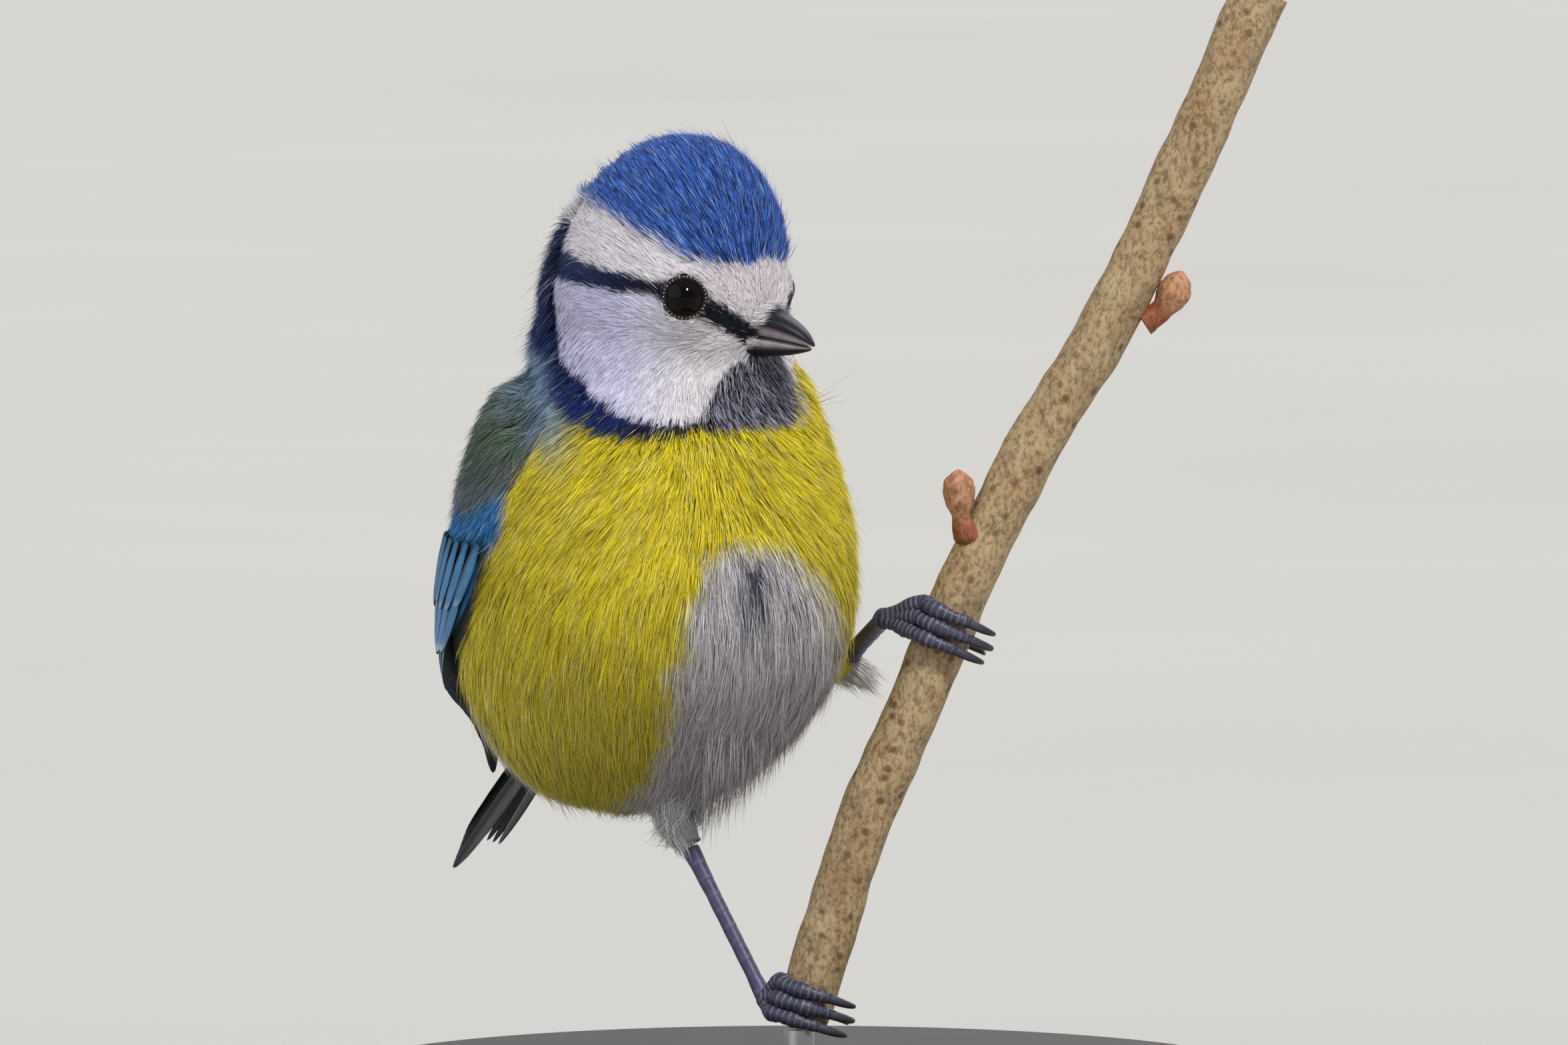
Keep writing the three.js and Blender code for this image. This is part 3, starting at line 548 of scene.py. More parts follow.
def markings(points):
    """The plumage's colour at each point: the same for the skin and for the coat."""
    turn, up = head_turn(points)
    ragged = rng_noise(points, 2.2, 5)
    line = {name: np.interp(turn, TURN[name], HEIGHT[name]) for name in TURN}
    colour = body_markings(points)
    nape = ramp(up, line["collar"] - 7.5, line["collar"] - 1.5) * ramp(turn, 88, 106)
    colour = over(colour, NAPE_PALE, 0.85 * nape)
    head = ramp(up + 0.35 * ragged, line["collar"] - 0.3, line["collar"] + 0.3)
    collar = mix(COLLAR_NAVY, COLLAR_BLUE, ramp(rng_noise(points, 2.6, 7), 0.2, 0.9)[:, None] * 0.55)
    collar = over(collar, COLLAR_DARK, ramp(turn, 84, 58))
    colour = over(colour, 0, head) + collar * head[:, None]
    bib = head * ramp(turn + 2 * ragged, 42, 38)
    colour = over(colour, BIB_DARK, bib)
    cheek_back = ramp(turn + 2.0 * ragged, 138, 135)
    cheek = ramp(up + 0.5 * ragged, line["cheek"] - 0.3, line["cheek"] + 0.3) * cheek_back
    white = mix(FACE_WHITE, CHEEK_LAVENDER, ramp(turn, 40, 90)[:, None])
    colour = over(colour, 0, cheek) + white * cheek[:, None]
    half = np.interp(turn, [0, 12, 33, 50, 63, 96, 130, 180], [0.7, 1.2, 1.35, 1.25, 0.85, 1.1, 1.5, 2])
    top = line["stripe"] + half
    brow_back = np.interp(turn, [0, 125, 140, 150, 180], [0, 0, 1.4, 2.6, 3.2])
    brow = ramp(up + 0.3 * ragged, top + brow_back - 0.3, top + brow_back + 0.3)
    colour = over(colour, BROW_WHITE, brow)
    stripe = ramp(np.abs(up - line["stripe"]) + 0.25 * ragged, half + 0.25, half - 0.25)
    stripe = stripe * ramp(turn, 8, 12)
    dark = mix(STRIPE_DARK, STRIPE_BLUE, ramp(turn, 60, 120)[:, None])
    colour = over(colour, 0, stripe) + dark * stripe[:, None]
    cap = ramp(up + 0.45 * ragged, line["cap"] - 0.5, line["cap"] + 0.8)
    colour = over(colour, CAP_BLUE, cap)
    return over(colour, YELLOW, beside_bib(points))


# Skin: one surface over head, neck, trunk and thighs, and the beds of the folded wings

FLESH = ("head", "neck", "torso", "thigh_left", "thigh_right")
VOXEL = 0.5
CLOSE = 0.3


def wing_place(z, degrees, height, side):
    """A point on the folded wing, or clear of it by a height."""
    front = np.interp(z, TRUNK_Z, TRUNK_FRONT) - height
    back = np.interp(z, WING_Z, WING_BACK) + height
    half = np.interp(z, WING_Z, WING_HALF) + height
    angle = np.radians(degrees)
    x = side * half * np.cos(angle)
    y = (front + back) / 2 - (back - front) / 2 * np.sin(angle)
    return np.stack([x, y, z + 0 * x], axis=-1)


def on_wing(along, across, height, side):
    """A point on the folded wing: along from shoulder to tip, across from front edge to back."""
    along = np.asarray(along, dtype=float)
    z = WING_TOP + (WING_TIP - WING_TOP) * along
    at = np.clip(z, WING_TIP, WING_TOP)
    start = np.interp(at, WING_Z, WING_FROM) - (LEFT_WING_BACK * (1 - across) if side > 0 else 0)
    end = np.interp(at, WING_Z, WING_TO)
    return wing_place(z, start + (end - start) * across, height, side)


BED_END = -18.0


def wing_bed(side):
    """A closed lens under the wing's feathers."""
    rings = 16
    sides = 16
    points = []
    for i in range(rings + 1):
        z = WING_TOP - 0.4 + (BED_END - WING_TOP) * i / rings
        open_ = math.sin(math.pi * i / rings) ** 0.3 if 0 < i < rings else 0.02
        start = np.interp(z, WING_Z, WING_FROM) - (LEFT_WING_BACK if side > 0 else 0)
        end = np.interp(z, WING_Z, WING_TO)
        for j in range(sides):
            around = 2 * math.pi * j / sides
            degrees = (start + end) / 2 + (start - end) / 2 * open_ * math.cos(around)
            reach = 0.5 if math.sin(around) > 0 else -2.0
            height = reach * open_ * abs(math.sin(around)) ** 0.6
            points.append(wing_place(np.array(z), degrees, height, side))
    points = np.array(points)
    ring = np.arange(sides)
    cap_a = ring[None, ::-1]
    cap_b = (rings * sides + ring)[None, :]
    return points, [grid_faces(rings + 1, sides, True)[:, ::-1], cap_a[:, ::-1], cap_b[:, ::-1]]


def skin_surface():
    """The remeshed flesh as points, quads and normals, in the bird's millimetres."""
    shell = bmesh.new()
    for name in FLESH:
        shell.from_mesh(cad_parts[name].data)
    data = bpy.data.meshes.new("flesh")
    shell.to_mesh(data)
    shell.free()
    flesh = bpy.data.objects.new("flesh", data)
    bpy.context.scene.collection.objects.link(flesh)
    beds = [build("bed", *wing_bed(side)) for side in (1, -1)]
    swell = flesh.modifiers.new("swell", "DISPLACE")
    swell.strength = CLOSE * MM
    swell.mid_level = 0
    merged = bmesh.new()
    for piece in (flesh, *beds):
        shaped = piece.evaluated_get(bpy.context.evaluated_depsgraph_get()).to_mesh()
        merged.from_mesh(shaped)
    bmesh.ops.recalc_face_normals(merged, faces=merged.faces)
    whole = bpy.data.meshes.new("whole")
    merged.to_mesh(whole)
    merged.free()
    body = bpy.data.objects.new("whole", whole)
    bpy.context.scene.collection.objects.link(body)
    remesh = body.modifiers.new("remesh", "REMESH")
    remesh.mode = "VOXEL"
    remesh.voxel_size = VOXEL * MM
    smooth = body.modifiers.new("smooth", "SMOOTH")
    smooth.factor = 0.5
    smooth.iterations = 14
    result = body.evaluated_get(bpy.context.evaluated_depsgraph_get()).to_mesh()
    points = np.empty(len(result.vertices) * 3)
    result.vertices.foreach_get("co", points)
    normals = np.empty(len(result.vertices) * 3)
    result.vertices.foreach_get("normal", normals)
    quads = np.array([p.vertices[:] for p in result.polygons])
    for piece in (flesh, *beds, body):
        bpy.data.objects.remove(piece)
    return to_bird(points.reshape(-1, 3)), quads, normals.reshape(-1, 3)


BILL_BASE = in_head(10.5, 0.0, -3.4)
EYES = {side: in_head(EYE_PLACE[0], side * EYE_PLACE[1], EYE_PLACE[2]) for side in (1, -1)}
KNEES = {1: in_plane(7.0, 9.4, -14.6), -1: in_plane(-9.8, -1.6, -34.3)}


def coat_depth(points):
    """How deep the skin lies under the coat's outer face."""
    _, _, up = head_axes(points)
    depth = mix(1.5, 0.85, ramp(up, -14, -2))
    from_bill = np.linalg.norm(points - BILL_BASE, axis=1)
    depth = depth * mix(0.35, 1.0, ramp(from_bill, 2.5, 9))
    for place in EYES.values():
        depth = depth * mix(0.35, 1.0, ramp(np.linalg.norm(points - place, axis=1), 2.5, 6))
    for place in KNEES.values():
        depth = depth * mix(0.3, 1.0, ramp(np.linalg.norm(points - place, axis=1), 3, 7))
    across = wing_across(points)
    inside = ramp(across, 0, 0.08) * ramp(across, 1, 0.92) * ramp(points[:, 2], 17, 13)
    return depth * (1 - 0.75 * inside) + CLOSE


def normals_of(points, quads):
    corner = points[quads]
    face = np.cross(corner[:, 2] - corner[:, 0], corner[:, 3] - corner[:, 1])
    total = np.zeros_like(points)
    for k in range(4):
        np.add.at(total, quads[:, k], face)
    return unit(total)


skin_points, skin_quads, skin_normals = skin_surface()
skin_points = skin_points - skin_normals * coat_depth(skin_points)[:, None]
skin_normals = normals_of(skin_points, skin_quads)
skin_tree = BVHTree.FromPolygons(skin_points.tolist(), skin_quads.tolist())


def on_skin(points):
    """The nearest places on the skin, with smooth normals."""
    found = [skin_tree.find_nearest(p) for p in points.tolist()]
    place = np.array([f[0] for f in found])
    normal = unit(skin_normals[skin_quads[[f[2] for f in found]]].mean(axis=1))
    return place, normal


# The lie of the coat

VENT = np.array([0.0, 8.0, -38.0])


def lie(points, normals):
    """Unit directions along the skin in which the feathers lie."""
    turn, up = head_turn(points)
    from_bill = unit(points - BILL_BASE)
    to_vent = unit(VENT - points)
    tail = unit(TAIL_TIP - TAIL_ROOT)
    down = np.array([0, 0.15, -1.0])
    rump = ramp(points[:, 1], 12, 20) * ramp(points[:, 2], -8, -16)
    body = unit(mix(to_vent, tail, rump[:, None]))
    body = unit(mix(body, down, 0.5 * ramp(points[:, 2], -8, 6)[:, None]))
    sweep = ramp(points[:, 2], -14, 6) * ramp(points[:, 1], 4, -8) * np.clip(points[:, 0] / 12, -1, 1)
    body = unit(body + np.array([0.55, 0, 0]) * sweep[:, None])
    head = ramp(up, -13 + 0.03 * turn, -4 + 0.05 * turn)
    way = unit(mix(body, from_bill, head[:, None]))
    nape = ramp(turn, 95, 150) * ramp(up, 9, 3)
    way = unit(mix(way, down, 0.85 * nape[:, None]))
    across = wing_across(points)
    wing = ramp(across, -0.05, 0.1) * ramp(across, 1.05, 0.95) * ramp(points[:, 2], 16, 11)
    backward = unit(np.stack([-0.35 * np.sign(points[:, 0]), 0 * turn + 0.9, 0 * turn - 1.5], axis=-1))
    way = unit(mix(way, backward, wing[:, None]))
    return unit(way - normals * np.sum(way * normals, axis=1, keepdims=True))


def scatter(chosen, spacing, random):
    """Roots spread over the skin's quads where chosen() allows, no two closer than the spacing."""
    corner = skin_points[skin_quads]
    middle = corner.mean(axis=1)
    allowed = chosen(middle)
    area = np.linalg.norm(np.cross(corner[:, 2] - corner[:, 0], corner[:, 3] - corner[:, 1]), axis=1) / 2
    weight = area * allowed
    tries = int(5.0 * weight.sum() / spacing**2)
    quad = random.choice(len(weight), size=tries, p=weight / weight.sum())
    u = random.random((tries, 2, 1))
    c = corner[quad]
    points = mix(mix(c[:, 0], c[:, 1], u[:, 0]), mix(c[:, 3], c[:, 2], u[:, 0]), u[:, 1])
    cells = np.floor(points / spacing).astype(int)
    kept = {}
    chosen_rows = []
    near = [(i, j, k) for i in (-1, 0, 1) for j in (-1, 0, 1) for k in (-1, 0, 1)]
    for row, (cell, point) in enumerate(zip(map(tuple, cells.tolist()), points.tolist())):
        clear = True
        for step in near:
            other = kept.get((cell[0] + step[0], cell[1] + step[1], cell[2] + step[2]))
            if other is None:
                continue
            gap = (other[0] - point[0]) ** 2 + (other[1] - point[1]) ** 2 + (other[2] - point[2]) ** 2
            if gap < spacing * spacing:
                clear = False
                break
        if clear:
            kept[cell] = point
            chosen_rows.append(row)
    return points[chosen_rows]


def unwrap(points):
    """Places of points on an unwrap of the skin: round it and down it."""
    turn = np.arctan2(points[:, 0], -points[:, 1] - 2)
    share = np.clip((points[:, 2] - 5) / 37.5, -1, 1)
    return np.stack([0.5 + turn / (2 * math.pi) * 0.98, 0.5 + np.arcsin(share) / math.pi * 0.98], axis=-1)


STATIONS = 4
TAPER = np.array([0.75, 1.0, 0.72, 0.0])
CORNER_STATION = np.array([0, 0, 1, 1, 2, 2, 3])
LOOSE_SHARE = 0.04  # strands that stand out from the rest
SHADING_SHARE = 0.6  # how much of a strand's own facing its shading keeps, beside the skin's
PATCH = 0.003


def tufts(name, roots, spec, look, random):
    """One coat piece: at each root a fan of tapered strands that follows the skin."""
    count = len(roots)
    strands = spec["strands"]
    length = spec["length"] * (1 + spec.get("vary", 0.18) * random.normal(size=count))
    length = np.clip(length, 0.5 * spec["length"], 1.6 * spec["length"])
    place, normal = on_skin(roots)
    path = [place]
    normals = [normal]
    swirl = spec.get("swirl", 0.16) * random.normal(size=(count, 1))
    ways = []
    for _ in range(STATIONS - 1):
        way = lie(path[-1], normals[-1])
        side = np.cross(normals[-1], way)
        way = unit(way + side * swirl)
        ways.append(way)
        step, normal = on_skin(path[-1] + way * (length / (STATIONS - 1))[:, None])
        path.append(step)
        normals.append(normal)
    ways.append(ways[-1])
    path = np.stack(path, axis=1)
    normals = np.stack(normals, axis=1)
    ways = np.stack(ways, axis=1)
    sides = unit(np.cross(normals, ways))
    t = np.linspace(0, 1, STATIONS)
    fan = random.uniform(-1, 1, size=(count, strands))
    reach = 1 - 0.28 * fan**2 + 0.14 * random.normal(size=(count, strands))
    reach = np.clip(reach, 0.45, 1.35)
    rise = spec["rise"] * (1 + 0.14 * random.normal(size=(count, 1)))
    rise = rise * (1 + 0.16 * random.normal(size=(count, strands)))
    rise = rise * (1 + spec.get("loose", 0.5) * (random.random((count, strands)) < LOOSE_SHARE))
    spread = spec["width"] / 2 * fan
    at = np.clip(reach[..., None] * t, 0, 1) * (STATIONS - 1)
    low = np.minimum(at.astype(int), STATIONS - 2)
    share = (at - low)[..., None]
    rows = np.arange(count)[:, None, None]
    centre = mix(path[rows, low], path[rows, low + 1], share)
    outward = mix(normals[rows, low], normals[rows, low + 1], share)
    sideways = mix(sides[rows, low], sides[rows, low + 1], share)
    forward = mix(ways[rows, low], ways[rows, low + 1], share)
    over_end = (np.maximum(reach, 1) - 1)[..., None] * t * length[:, None, None]
    open_ = spec.get("root_spread", 0.35)
    across = spread[..., None] * (open_ + (1 - open_) * np.power(t, 0.8))
    lift = rise[..., None] * np.power(t, spec.get("curve", 0.75)) - 0.12
    centre = centre + sideways * across[..., None] + outward * lift[..., None]
    centre = centre + forward * over_end[..., None]
    roll = random.uniform(-0.7, 0.7, size=(count, strands))[..., None, None]
    flat = sideways * np.cos(roll) + outward * np.sin(roll)
    face = outward * np.cos(roll) - sideways * np.sin(roll)
    wide = spec["strand"] * (1 + 0.25 * random.normal(size=(count, strands)))
    wide = np.clip(wide, 0.45 * spec["strand"], 1.8 * spec["strand"])
    total = count * strands
    centre = centre.reshape(total, STATIONS, 3)
    points, polygons = ribbons(centre, flat.reshape(total, STATIONS, 3), wide.reshape(total))
    shading = unit(outward + SHADING_SHARE * face).reshape(total, STATIONS, 3)[:, CORNER_STATION]
    value = np.repeat(np.exp(spec.get("clump", 0.07) * random.normal(size=count)), strands)
    tint = strand_tints(centre, value[:, None], spec, random)
    home = unwrap(roots)
    uv = np.empty((count, strands, 7, 2))
    offset = np.clip(fan, -1, 1)[..., None] * PATCH / 2
    steps = CORNER_STATION / 3 * PATCH - PATCH / 2
    thin = np.array([-1, 1, -1, 1, -1, 1, 0]) * PATCH / 16
    uv[..., 0] = home[:, None, None, 0] + offset * 0.85 + thin
    uv[..., 1] = home[:, None, None, 1] + steps
    return finish_coat(name, points, polygons, tint, uv.reshape(-1, 2), shading.reshape(-1, 3), look)


def ribbons(centre, flat, wide):
    """Points and polygons of tapered strips along centre lines, each ending in a point."""
    total = len(centre)
    reach = flat * (wide[:, None] * TAPER / 2)[..., None]
    points = np.empty((total, 7, 3))
    points[:, 0:6:2] = (centre - reach)[:, :3]
    points[:, 1:6:2] = (centre + reach)[:, :3]
    points[:, 6] = centre[:, 3]
    first = 7 * np.arange(total)[:, None]
    quads = np.concatenate([first + np.array([1, 0, 2, 3]), first + np.array([3, 2, 4, 5])])
    return points.reshape(-1, 3), [quads, first + np.array([5, 4, 6])]


def finish_coat(name, points, polygons, tint, uv, shading, look):
    piece = build(name, points, polygons, tint, uv, normals=shading)
    piece.data.materials.append(look)
    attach(piece, "root")
    return piece


def strand_tints(centre, value, spec, random):
    """Colour of each strand's seven corners: its marking, varied, then painted shade that darkens its root
    and a little painted light on its tip.
    """
    total = len(centre)
    stray = spec.get("stray", 0.3) * random.normal(size=(total, 3))
    mark = markings(centre[:, 2] + stray)
    if "recolour" in spec:
        mark = spec["recolour"](mark, centre[:, 2], random)
    value = value * np.exp(spec.get("contrast", 0.08) * random.normal(size=(total, 1)))
    mark = mark * value
    pale = random.random(total) < spec.get("pale", 0.03)
    mark[pale] = mix(mark[pale], np.ones(3) * 0.8, 0.3)
    # painted shade deep in the coat at each strand's root, and painted light at its tip
    painted_depth_shade = np.array([spec.get("root_shade", 0.5), 0.85, 1.0, 1.06])
    shade = painted_depth_shade[CORNER_STATION]
    return np.clip(mark[:, None, :] * shade[None, :, None], 0, 1).reshape(-1, 3)


def cap_colours(mark, points, random):
    """Fine deep and pale blue streaks over the cap."""
    turn, up = head_turn(points)
    cap = ramp(up, cap_line(turn), cap_line(turn) + 1)
    pick = random.random(len(mark))
    mark = over(mark, CAP_DEEP, cap * 0.8 * (pick < 0.3))
    return over(mark, CAP_PALE, cap * 0.6 * (pick > 0.86))


def bib_colours(mark, points, random):
    """Pale streaks over the dark bib, and dark ones where the cheek meets it."""
    turn, up = head_turn(points)
    bib = ramp(turn, 46, 40) * ramp(up, -4.5, -6) * ramp(up, -13.8, -13)
    return over(mark, BIB_GREY, bib * (random.random(len(mark)) < 0.6) * random.uniform(0.5, 1, len(mark)))


def belly_colours(mark, points, random):
    """Scattered pale and olive strands through the yellow, pale and dark ones through the grey: the pale
    ones partly real pale shafts and partly painted highlights, the dark ones partly real dark down and
    partly painted shade between strands.
    """
    pick = random.random(len(mark))
    yellow = (mark[:, 2] < 0.25 * mark[:, 0]).astype(float)
    # pale strands through the yellow: partly real pale shafts, partly painted highlights
    mark = over(mark, YELLOW_PALE, 0.7 * yellow * (pick < 0.15))
    mark = over(mark, OLIVE, 0.6 * yellow * (pick > 0.82))
    grey = (1 - yellow) * (points[:, 2] < 0)
    # pale strands through the grey are partly painted highlights, and the dark ones partly painted shade
    # between strands
    mark = over(mark, THIGH_WHITE, 0.8 * grey * (pick < 0.3))
    return over(mark, BELLY_DARK, 0.4 * grey * (pick > 0.86))


COVERT_END = -5.0
CAP_SEAM = 0.4  # how far the cap's tufts start below its line, in mm
LORES_TURN = 28  # where the coats of the head meet, in degrees from the bill
BIB_TURN = 40
CHEEK_TURN = 135
BREAST_FOOT = -4  # the breast's tufts above this height, the flanks' below it
BILL_CLEAR = 2.2
EYE_CLEAR = 2.55


def region(test):
    """A chooser of skin places: test(turn, up, points) away from eyes, bill and wings' feathers."""

    def chosen(points):
        turn, up = head_turn(points)
        clear = np.linalg.norm(points - BILL_BASE, axis=1) > BILL_CLEAR
        for place in EYES.values():
            clear &= np.linalg.norm(points - place, axis=1) > EYE_CLEAR
        across = wing_across(points)
        z = points[:, 2]
        under = (across > 0.04) & (across < 0.97) & (z < COVERT_END) & (z > -27)
        return (clear & ~under & test(turn, up, points)).astype(float)

    return chosen


def cap_line(turn):
    return np.interp(turn, TURN["cap"], HEIGHT["cap"])


def cheek_line(turn):
    return np.interp(turn, TURN["cheek"], HEIGHT["cheek"])


def collar_line(turn):
    return np.interp(turn, TURN["collar"], HEIGHT["collar"])


def is_body(turn, up, points):
    return up < collar_line(turn)


def is_back(points):
    angle, _ = girth(points)
    return angle < mantle_edge(points)


def stands_up(points):
    return beside_bib(points) > 0.5


def between_wings(points):
    return (wing_across(points) > 0.9) & (points[:, 2] < -4) & (points[:, 2] > -24) & (points[:, 1] > 6)


def on_coverts(points):
    across = wing_across(points)
    z = points[:, 2]
    return (across > 0) & (across < 0.99) & (z + 7 * across < 3.6) & (z > COVERT_END)


def near_knee(points):
    close = [np.linalg.norm(points - place, axis=1) < 5.0 for place in KNEES.values()]
    return close[0] | close[1]


# Lengths, widths and rises in mm; the rest are shares
FACE = dict(
    length=1.8, width=0.8, strands=13, strand=0.07, rise=0.34,
    swirl=0.07, root_shade=0.9, stray=0.2, contrast=0.05,
)
CAP = dict(
    length=2.5, width=0.8, strands=14, strand=0.07, rise=0.75,
    swirl=0.05, contrast=0.3, stray=0.4, loose=0.9, recolour=cap_colours,
)
COLLAR = dict(length=3.0, width=1.1, strands=13, strand=0.08, rise=1.5, contrast=0.2, pale=0.03)
BIB = dict(
    length=2.2, width=1.0, strands=12, strand=0.085, rise=0.8,
    swirl=0.2, contrast=0.2, recolour=bib_colours,
)
BREAST = dict(
    length=3.8, width=2.0, strands=22, strand=0.08, rise=1.15,
    swirl=0.07, contrast=0.1, root_shade=0.78, recolour=belly_colours,
)
FLANK = dict(
    length=6.4, width=2.6, strands=23, strand=0.085, rise=1.35,
    swirl=0.1, contrast=0.13, root_shade=0.76, recolour=belly_colours,
)
MANTLE_COAT = dict(length=3.4, width=1.8, strands=15, strand=0.085, rise=0.95, contrast=0.16)
WING_COAT = dict(
    length=3.0, width=1.9, strands=18, strand=0.1, rise=0.9,
    swirl=0.06, contrast=0.26, root_shade=0.2,
)
RUMP = dict(length=7.5, width=3.4, strands=20, strand=0.1, rise=2.6, contrast=0.16)
LORES = dict(
    length=1.2, width=0.5, strands=10, strand=0.065, rise=0.3,
    swirl=0.08, root_shade=0.88, stray=0.2,
)

COAT = [
    ("coat_cap", CAP, 0.42, "head_feathers", lambda turn, up, p: up > cap_line(turn) - CAP_SEAM),
    (
        "coat_cheek_right",
        FACE,
        0.4,
        "head_feathers",
        lambda turn, up, p: (head_axes(p)[1] <= 0)
        & (up <= cap_line(turn) - CAP_SEAM)
        & (up > cheek_line(turn))
        & (turn < CHEEK_TURN)
        & (turn > LORES_TURN),
    ),
    (
        "coat_cheek_left",
        FACE,
        0.4,
        "head_feathers",
        lambda turn, up, p: (head_axes(p)[1] > 0)
        & (up <= cap_line(turn) - CAP_SEAM)
        & (up > cheek_line(turn))
        & (turn < CHEEK_TURN)
        & (turn > LORES_TURN)
        & ~stands_up(p),
    ),
    (
        "coat_face",
        LORES,
        0.32,
        "head_feathers",
        lambda turn, up, p: (up <= cap_line(turn) - CAP_SEAM)
        & (up > cheek_line(turn))
        & (turn <= LORES_TURN),
    ),
    (
        "coat_collar",
        COLLAR,
        0.46,
        "collar_feathers",
        lambda turn, up, p: (up <= cap_line(turn) - CAP_SEAM)
        & (up > collar_line(turn))
        & ((up <= cheek_line(turn)) | (turn >= CHEEK_TURN))
        & (turn > BIB_TURN)
        & ~stands_up(p),
    ),
    (
        "coat_bib",
        BIB,
        0.42,
        "collar_feathers",
        lambda turn, up, p: (up > collar_line(turn))
        & (up <= cheek_line(turn))
        & (turn <= BIB_TURN)
        & ~stands_up(p),
    ),
    (
        "coat_breast",
        BREAST,
        0.62,
        "body_feathers",
        lambda turn, up, p: (is_body(turn, up, p) | stands_up(p)) & ~is_back(p) & (p[:, 2] > BREAST_FOOT),
    ),
    (
        "coat_flank_right",
        FLANK,
        0.72,
        "body_feathers",
        lambda turn, up, p: ~is_back(p) & (p[:, 2] <= BREAST_FOOT) & (p[:, 0] < 0) & ~near_knee(p),
    ),
    (
        "coat_flank_left",
        FLANK,
        0.72,
        "body_feathers",
        lambda turn, up, p: ~is_back(p) & (p[:, 2] <= BREAST_FOOT) & (p[:, 0] >= 0) & ~near_knee(p),
    ),
    (
        "coat_back",
        MANTLE_COAT,
        0.62,
        "body_feathers",
        lambda turn, up, p: is_body(turn, up, p) & is_back(p) & ~on_coverts(p),
    ),
    ("coat_rump", RUMP, 1.0, "body_feathers", lambda turn, up, p: between_wings(p)),
    ("coat_wings", WING_COAT, 0.62, "wing_feathers", lambda turn, up, p: on_coverts(p)),
]


# Loose strands: feathered thighs, hanging belly plumes, bristles round the bill, whiskers


def strands_between(name, start, way, bend, out, wide, tint, look, random):
    """Loose curved strands: each from a start, along a way, bent by a sag, facing outward."""
    t = np.linspace(0, 1, STATIONS)[None, :, None]
    centre = start[:, None, :] + way[:, None, :] * t + bend[:, None, :] * t**2
    along = unit(way[:, None, :] + 2 * bend[:, None, :] * t)
    outward = unit(out)[:, None, :] * np.ones_like(t)
    sideways = unit(np.cross(outward, along))
    roll = random.uniform(-0.7, 0.7, size=(len(start), 1, 1))
    flat = sideways * np.cos(roll) + outward * np.sin(roll)
    face = np.cross(along, flat)
    points, polygons = ribbons(centre, flat, wide * np.exp(0.2 * random.normal(size=len(start))))
    shading = unit(outward + SHADING_SHARE * face)[:, CORNER_STATION].reshape(-1, 3)
    home = unwrap(on_skin(start)[0])
    steps = (CORNER_STATION / 3 - 0.5) * PATCH
    thin = np.array([-1, 1, -1, 1, -1, 1, 0]) * PATCH / 3
    uv = home[:, None, :] + np.stack([thin, steps], axis=-1)[None]
    # painted shade towards each loose strand's root and a little painted light at its tip
    shade = np.array([0.75, 0.9, 1.0, 1.05])[CORNER_STATION]
    colours = np.clip(tint[:, None, :] * shade[None, :, None], 0, 1).reshape(-1, 3)
    return finish_coat(name, points, polygons, colours, uv.reshape(-1, 2), shading, look)


# Feathered thighs: from the belly to the shank in the photo's plane, radii along them, and sag
THIGHS = {
    "right": dict(
        line=[(-12.2, -1.2, -26.5), (-11.6, -1.4, -31.0), (-9.6, -1.6, -35.6)],
        radii=(2.6, 2.0, 0.9),
        sag=(0, 0, -0.2),
        count=1600,
    ),
    "left": dict(
        line=[(0.4, 10.8, -13.2), (5.6, 9.7, -15.3), (10.6, 9.0, -17.2)],
        radii=(3.2, 2.1, 1.3),
        sag=(0.4, 0, -1.4),
        count=1700,
    ),
}


FUR_REACH = 0.34


def round_fur(name, path, wide, high, sag, count, paint, strand, look, random, inner):
    """Strands that lie round a path and along it, between its start and its end."""
    _, a, b = line_frames(path)
    low = random.uniform(0, 1 - FUR_REACH, count)
    turn = random.uniform(0, 2 * math.pi, count)
    depth = np.sqrt(random.uniform(inner**2, 1, (count, 1)))
    last = len(path) - 1
    ends = []
    for share, spread in ((low, 0.85), (low + FUR_REACH * random.uniform(0.7, 1, count), 1.0)):
        row = np.minimum((share * last).astype(int), last)
        place = np.linspace(0, 1, len(wide))
        out = a[row] * (np.cos(turn) * np.interp(share, place, wide))[:, None]
        out = out + b[row] * (np.sin(turn) * np.interp(share, place, high))[:, None]
        ends.append(path[row] + out * spread * depth)
    bend = np.array(sag) * random.uniform(0.4, 1.2, (count, 1)) + 0.22 * random.normal(size=(count, 3))
    tint = paint(unit(out), random) * np.exp(0.12 * random.normal(size=(count, 1)))
    strands_between(name, ends[0], ends[1] - ends[0], bend, out, strand, tint, look, random)


def paint_thigh(out, random):
    tint = np.tile(THIGH_WHITE, (len(out), 1))
    grey = random.random(len(out)) < 0.15
    tint[grey] = tint[grey] * 0.7
    return tint


def paint_tail_root(out, random):
    """Blue-grey above the tail, pale under it."""
    above = ramp(out @ tail_frame()[1], -0.2, 0.2)[:, None]
    return mix(BELLY_GREY * 0.8, RUMP_BLUE * 0.7, above)


def make_thighs(look):
    for side, thigh in THIGHS.items():
        random = np.random.default_rng(200 + len(side))
        path = spline([in_plane(*place) for place in thigh["line"]], 60)
        radii = thigh["radii"]
        name = "coat_thigh_" + side
        sag = thigh["sag"]
        count = thigh["count"]
        round_fur(name, path, radii, radii, sag, count, paint_thigh, 0.1, look, random, 0.1)


TAIL_COVERTS = 5200
PLUMES = 1500
BRISTLES = 1500
WHISKERS = 7
WHISKER_ROOTS = 40


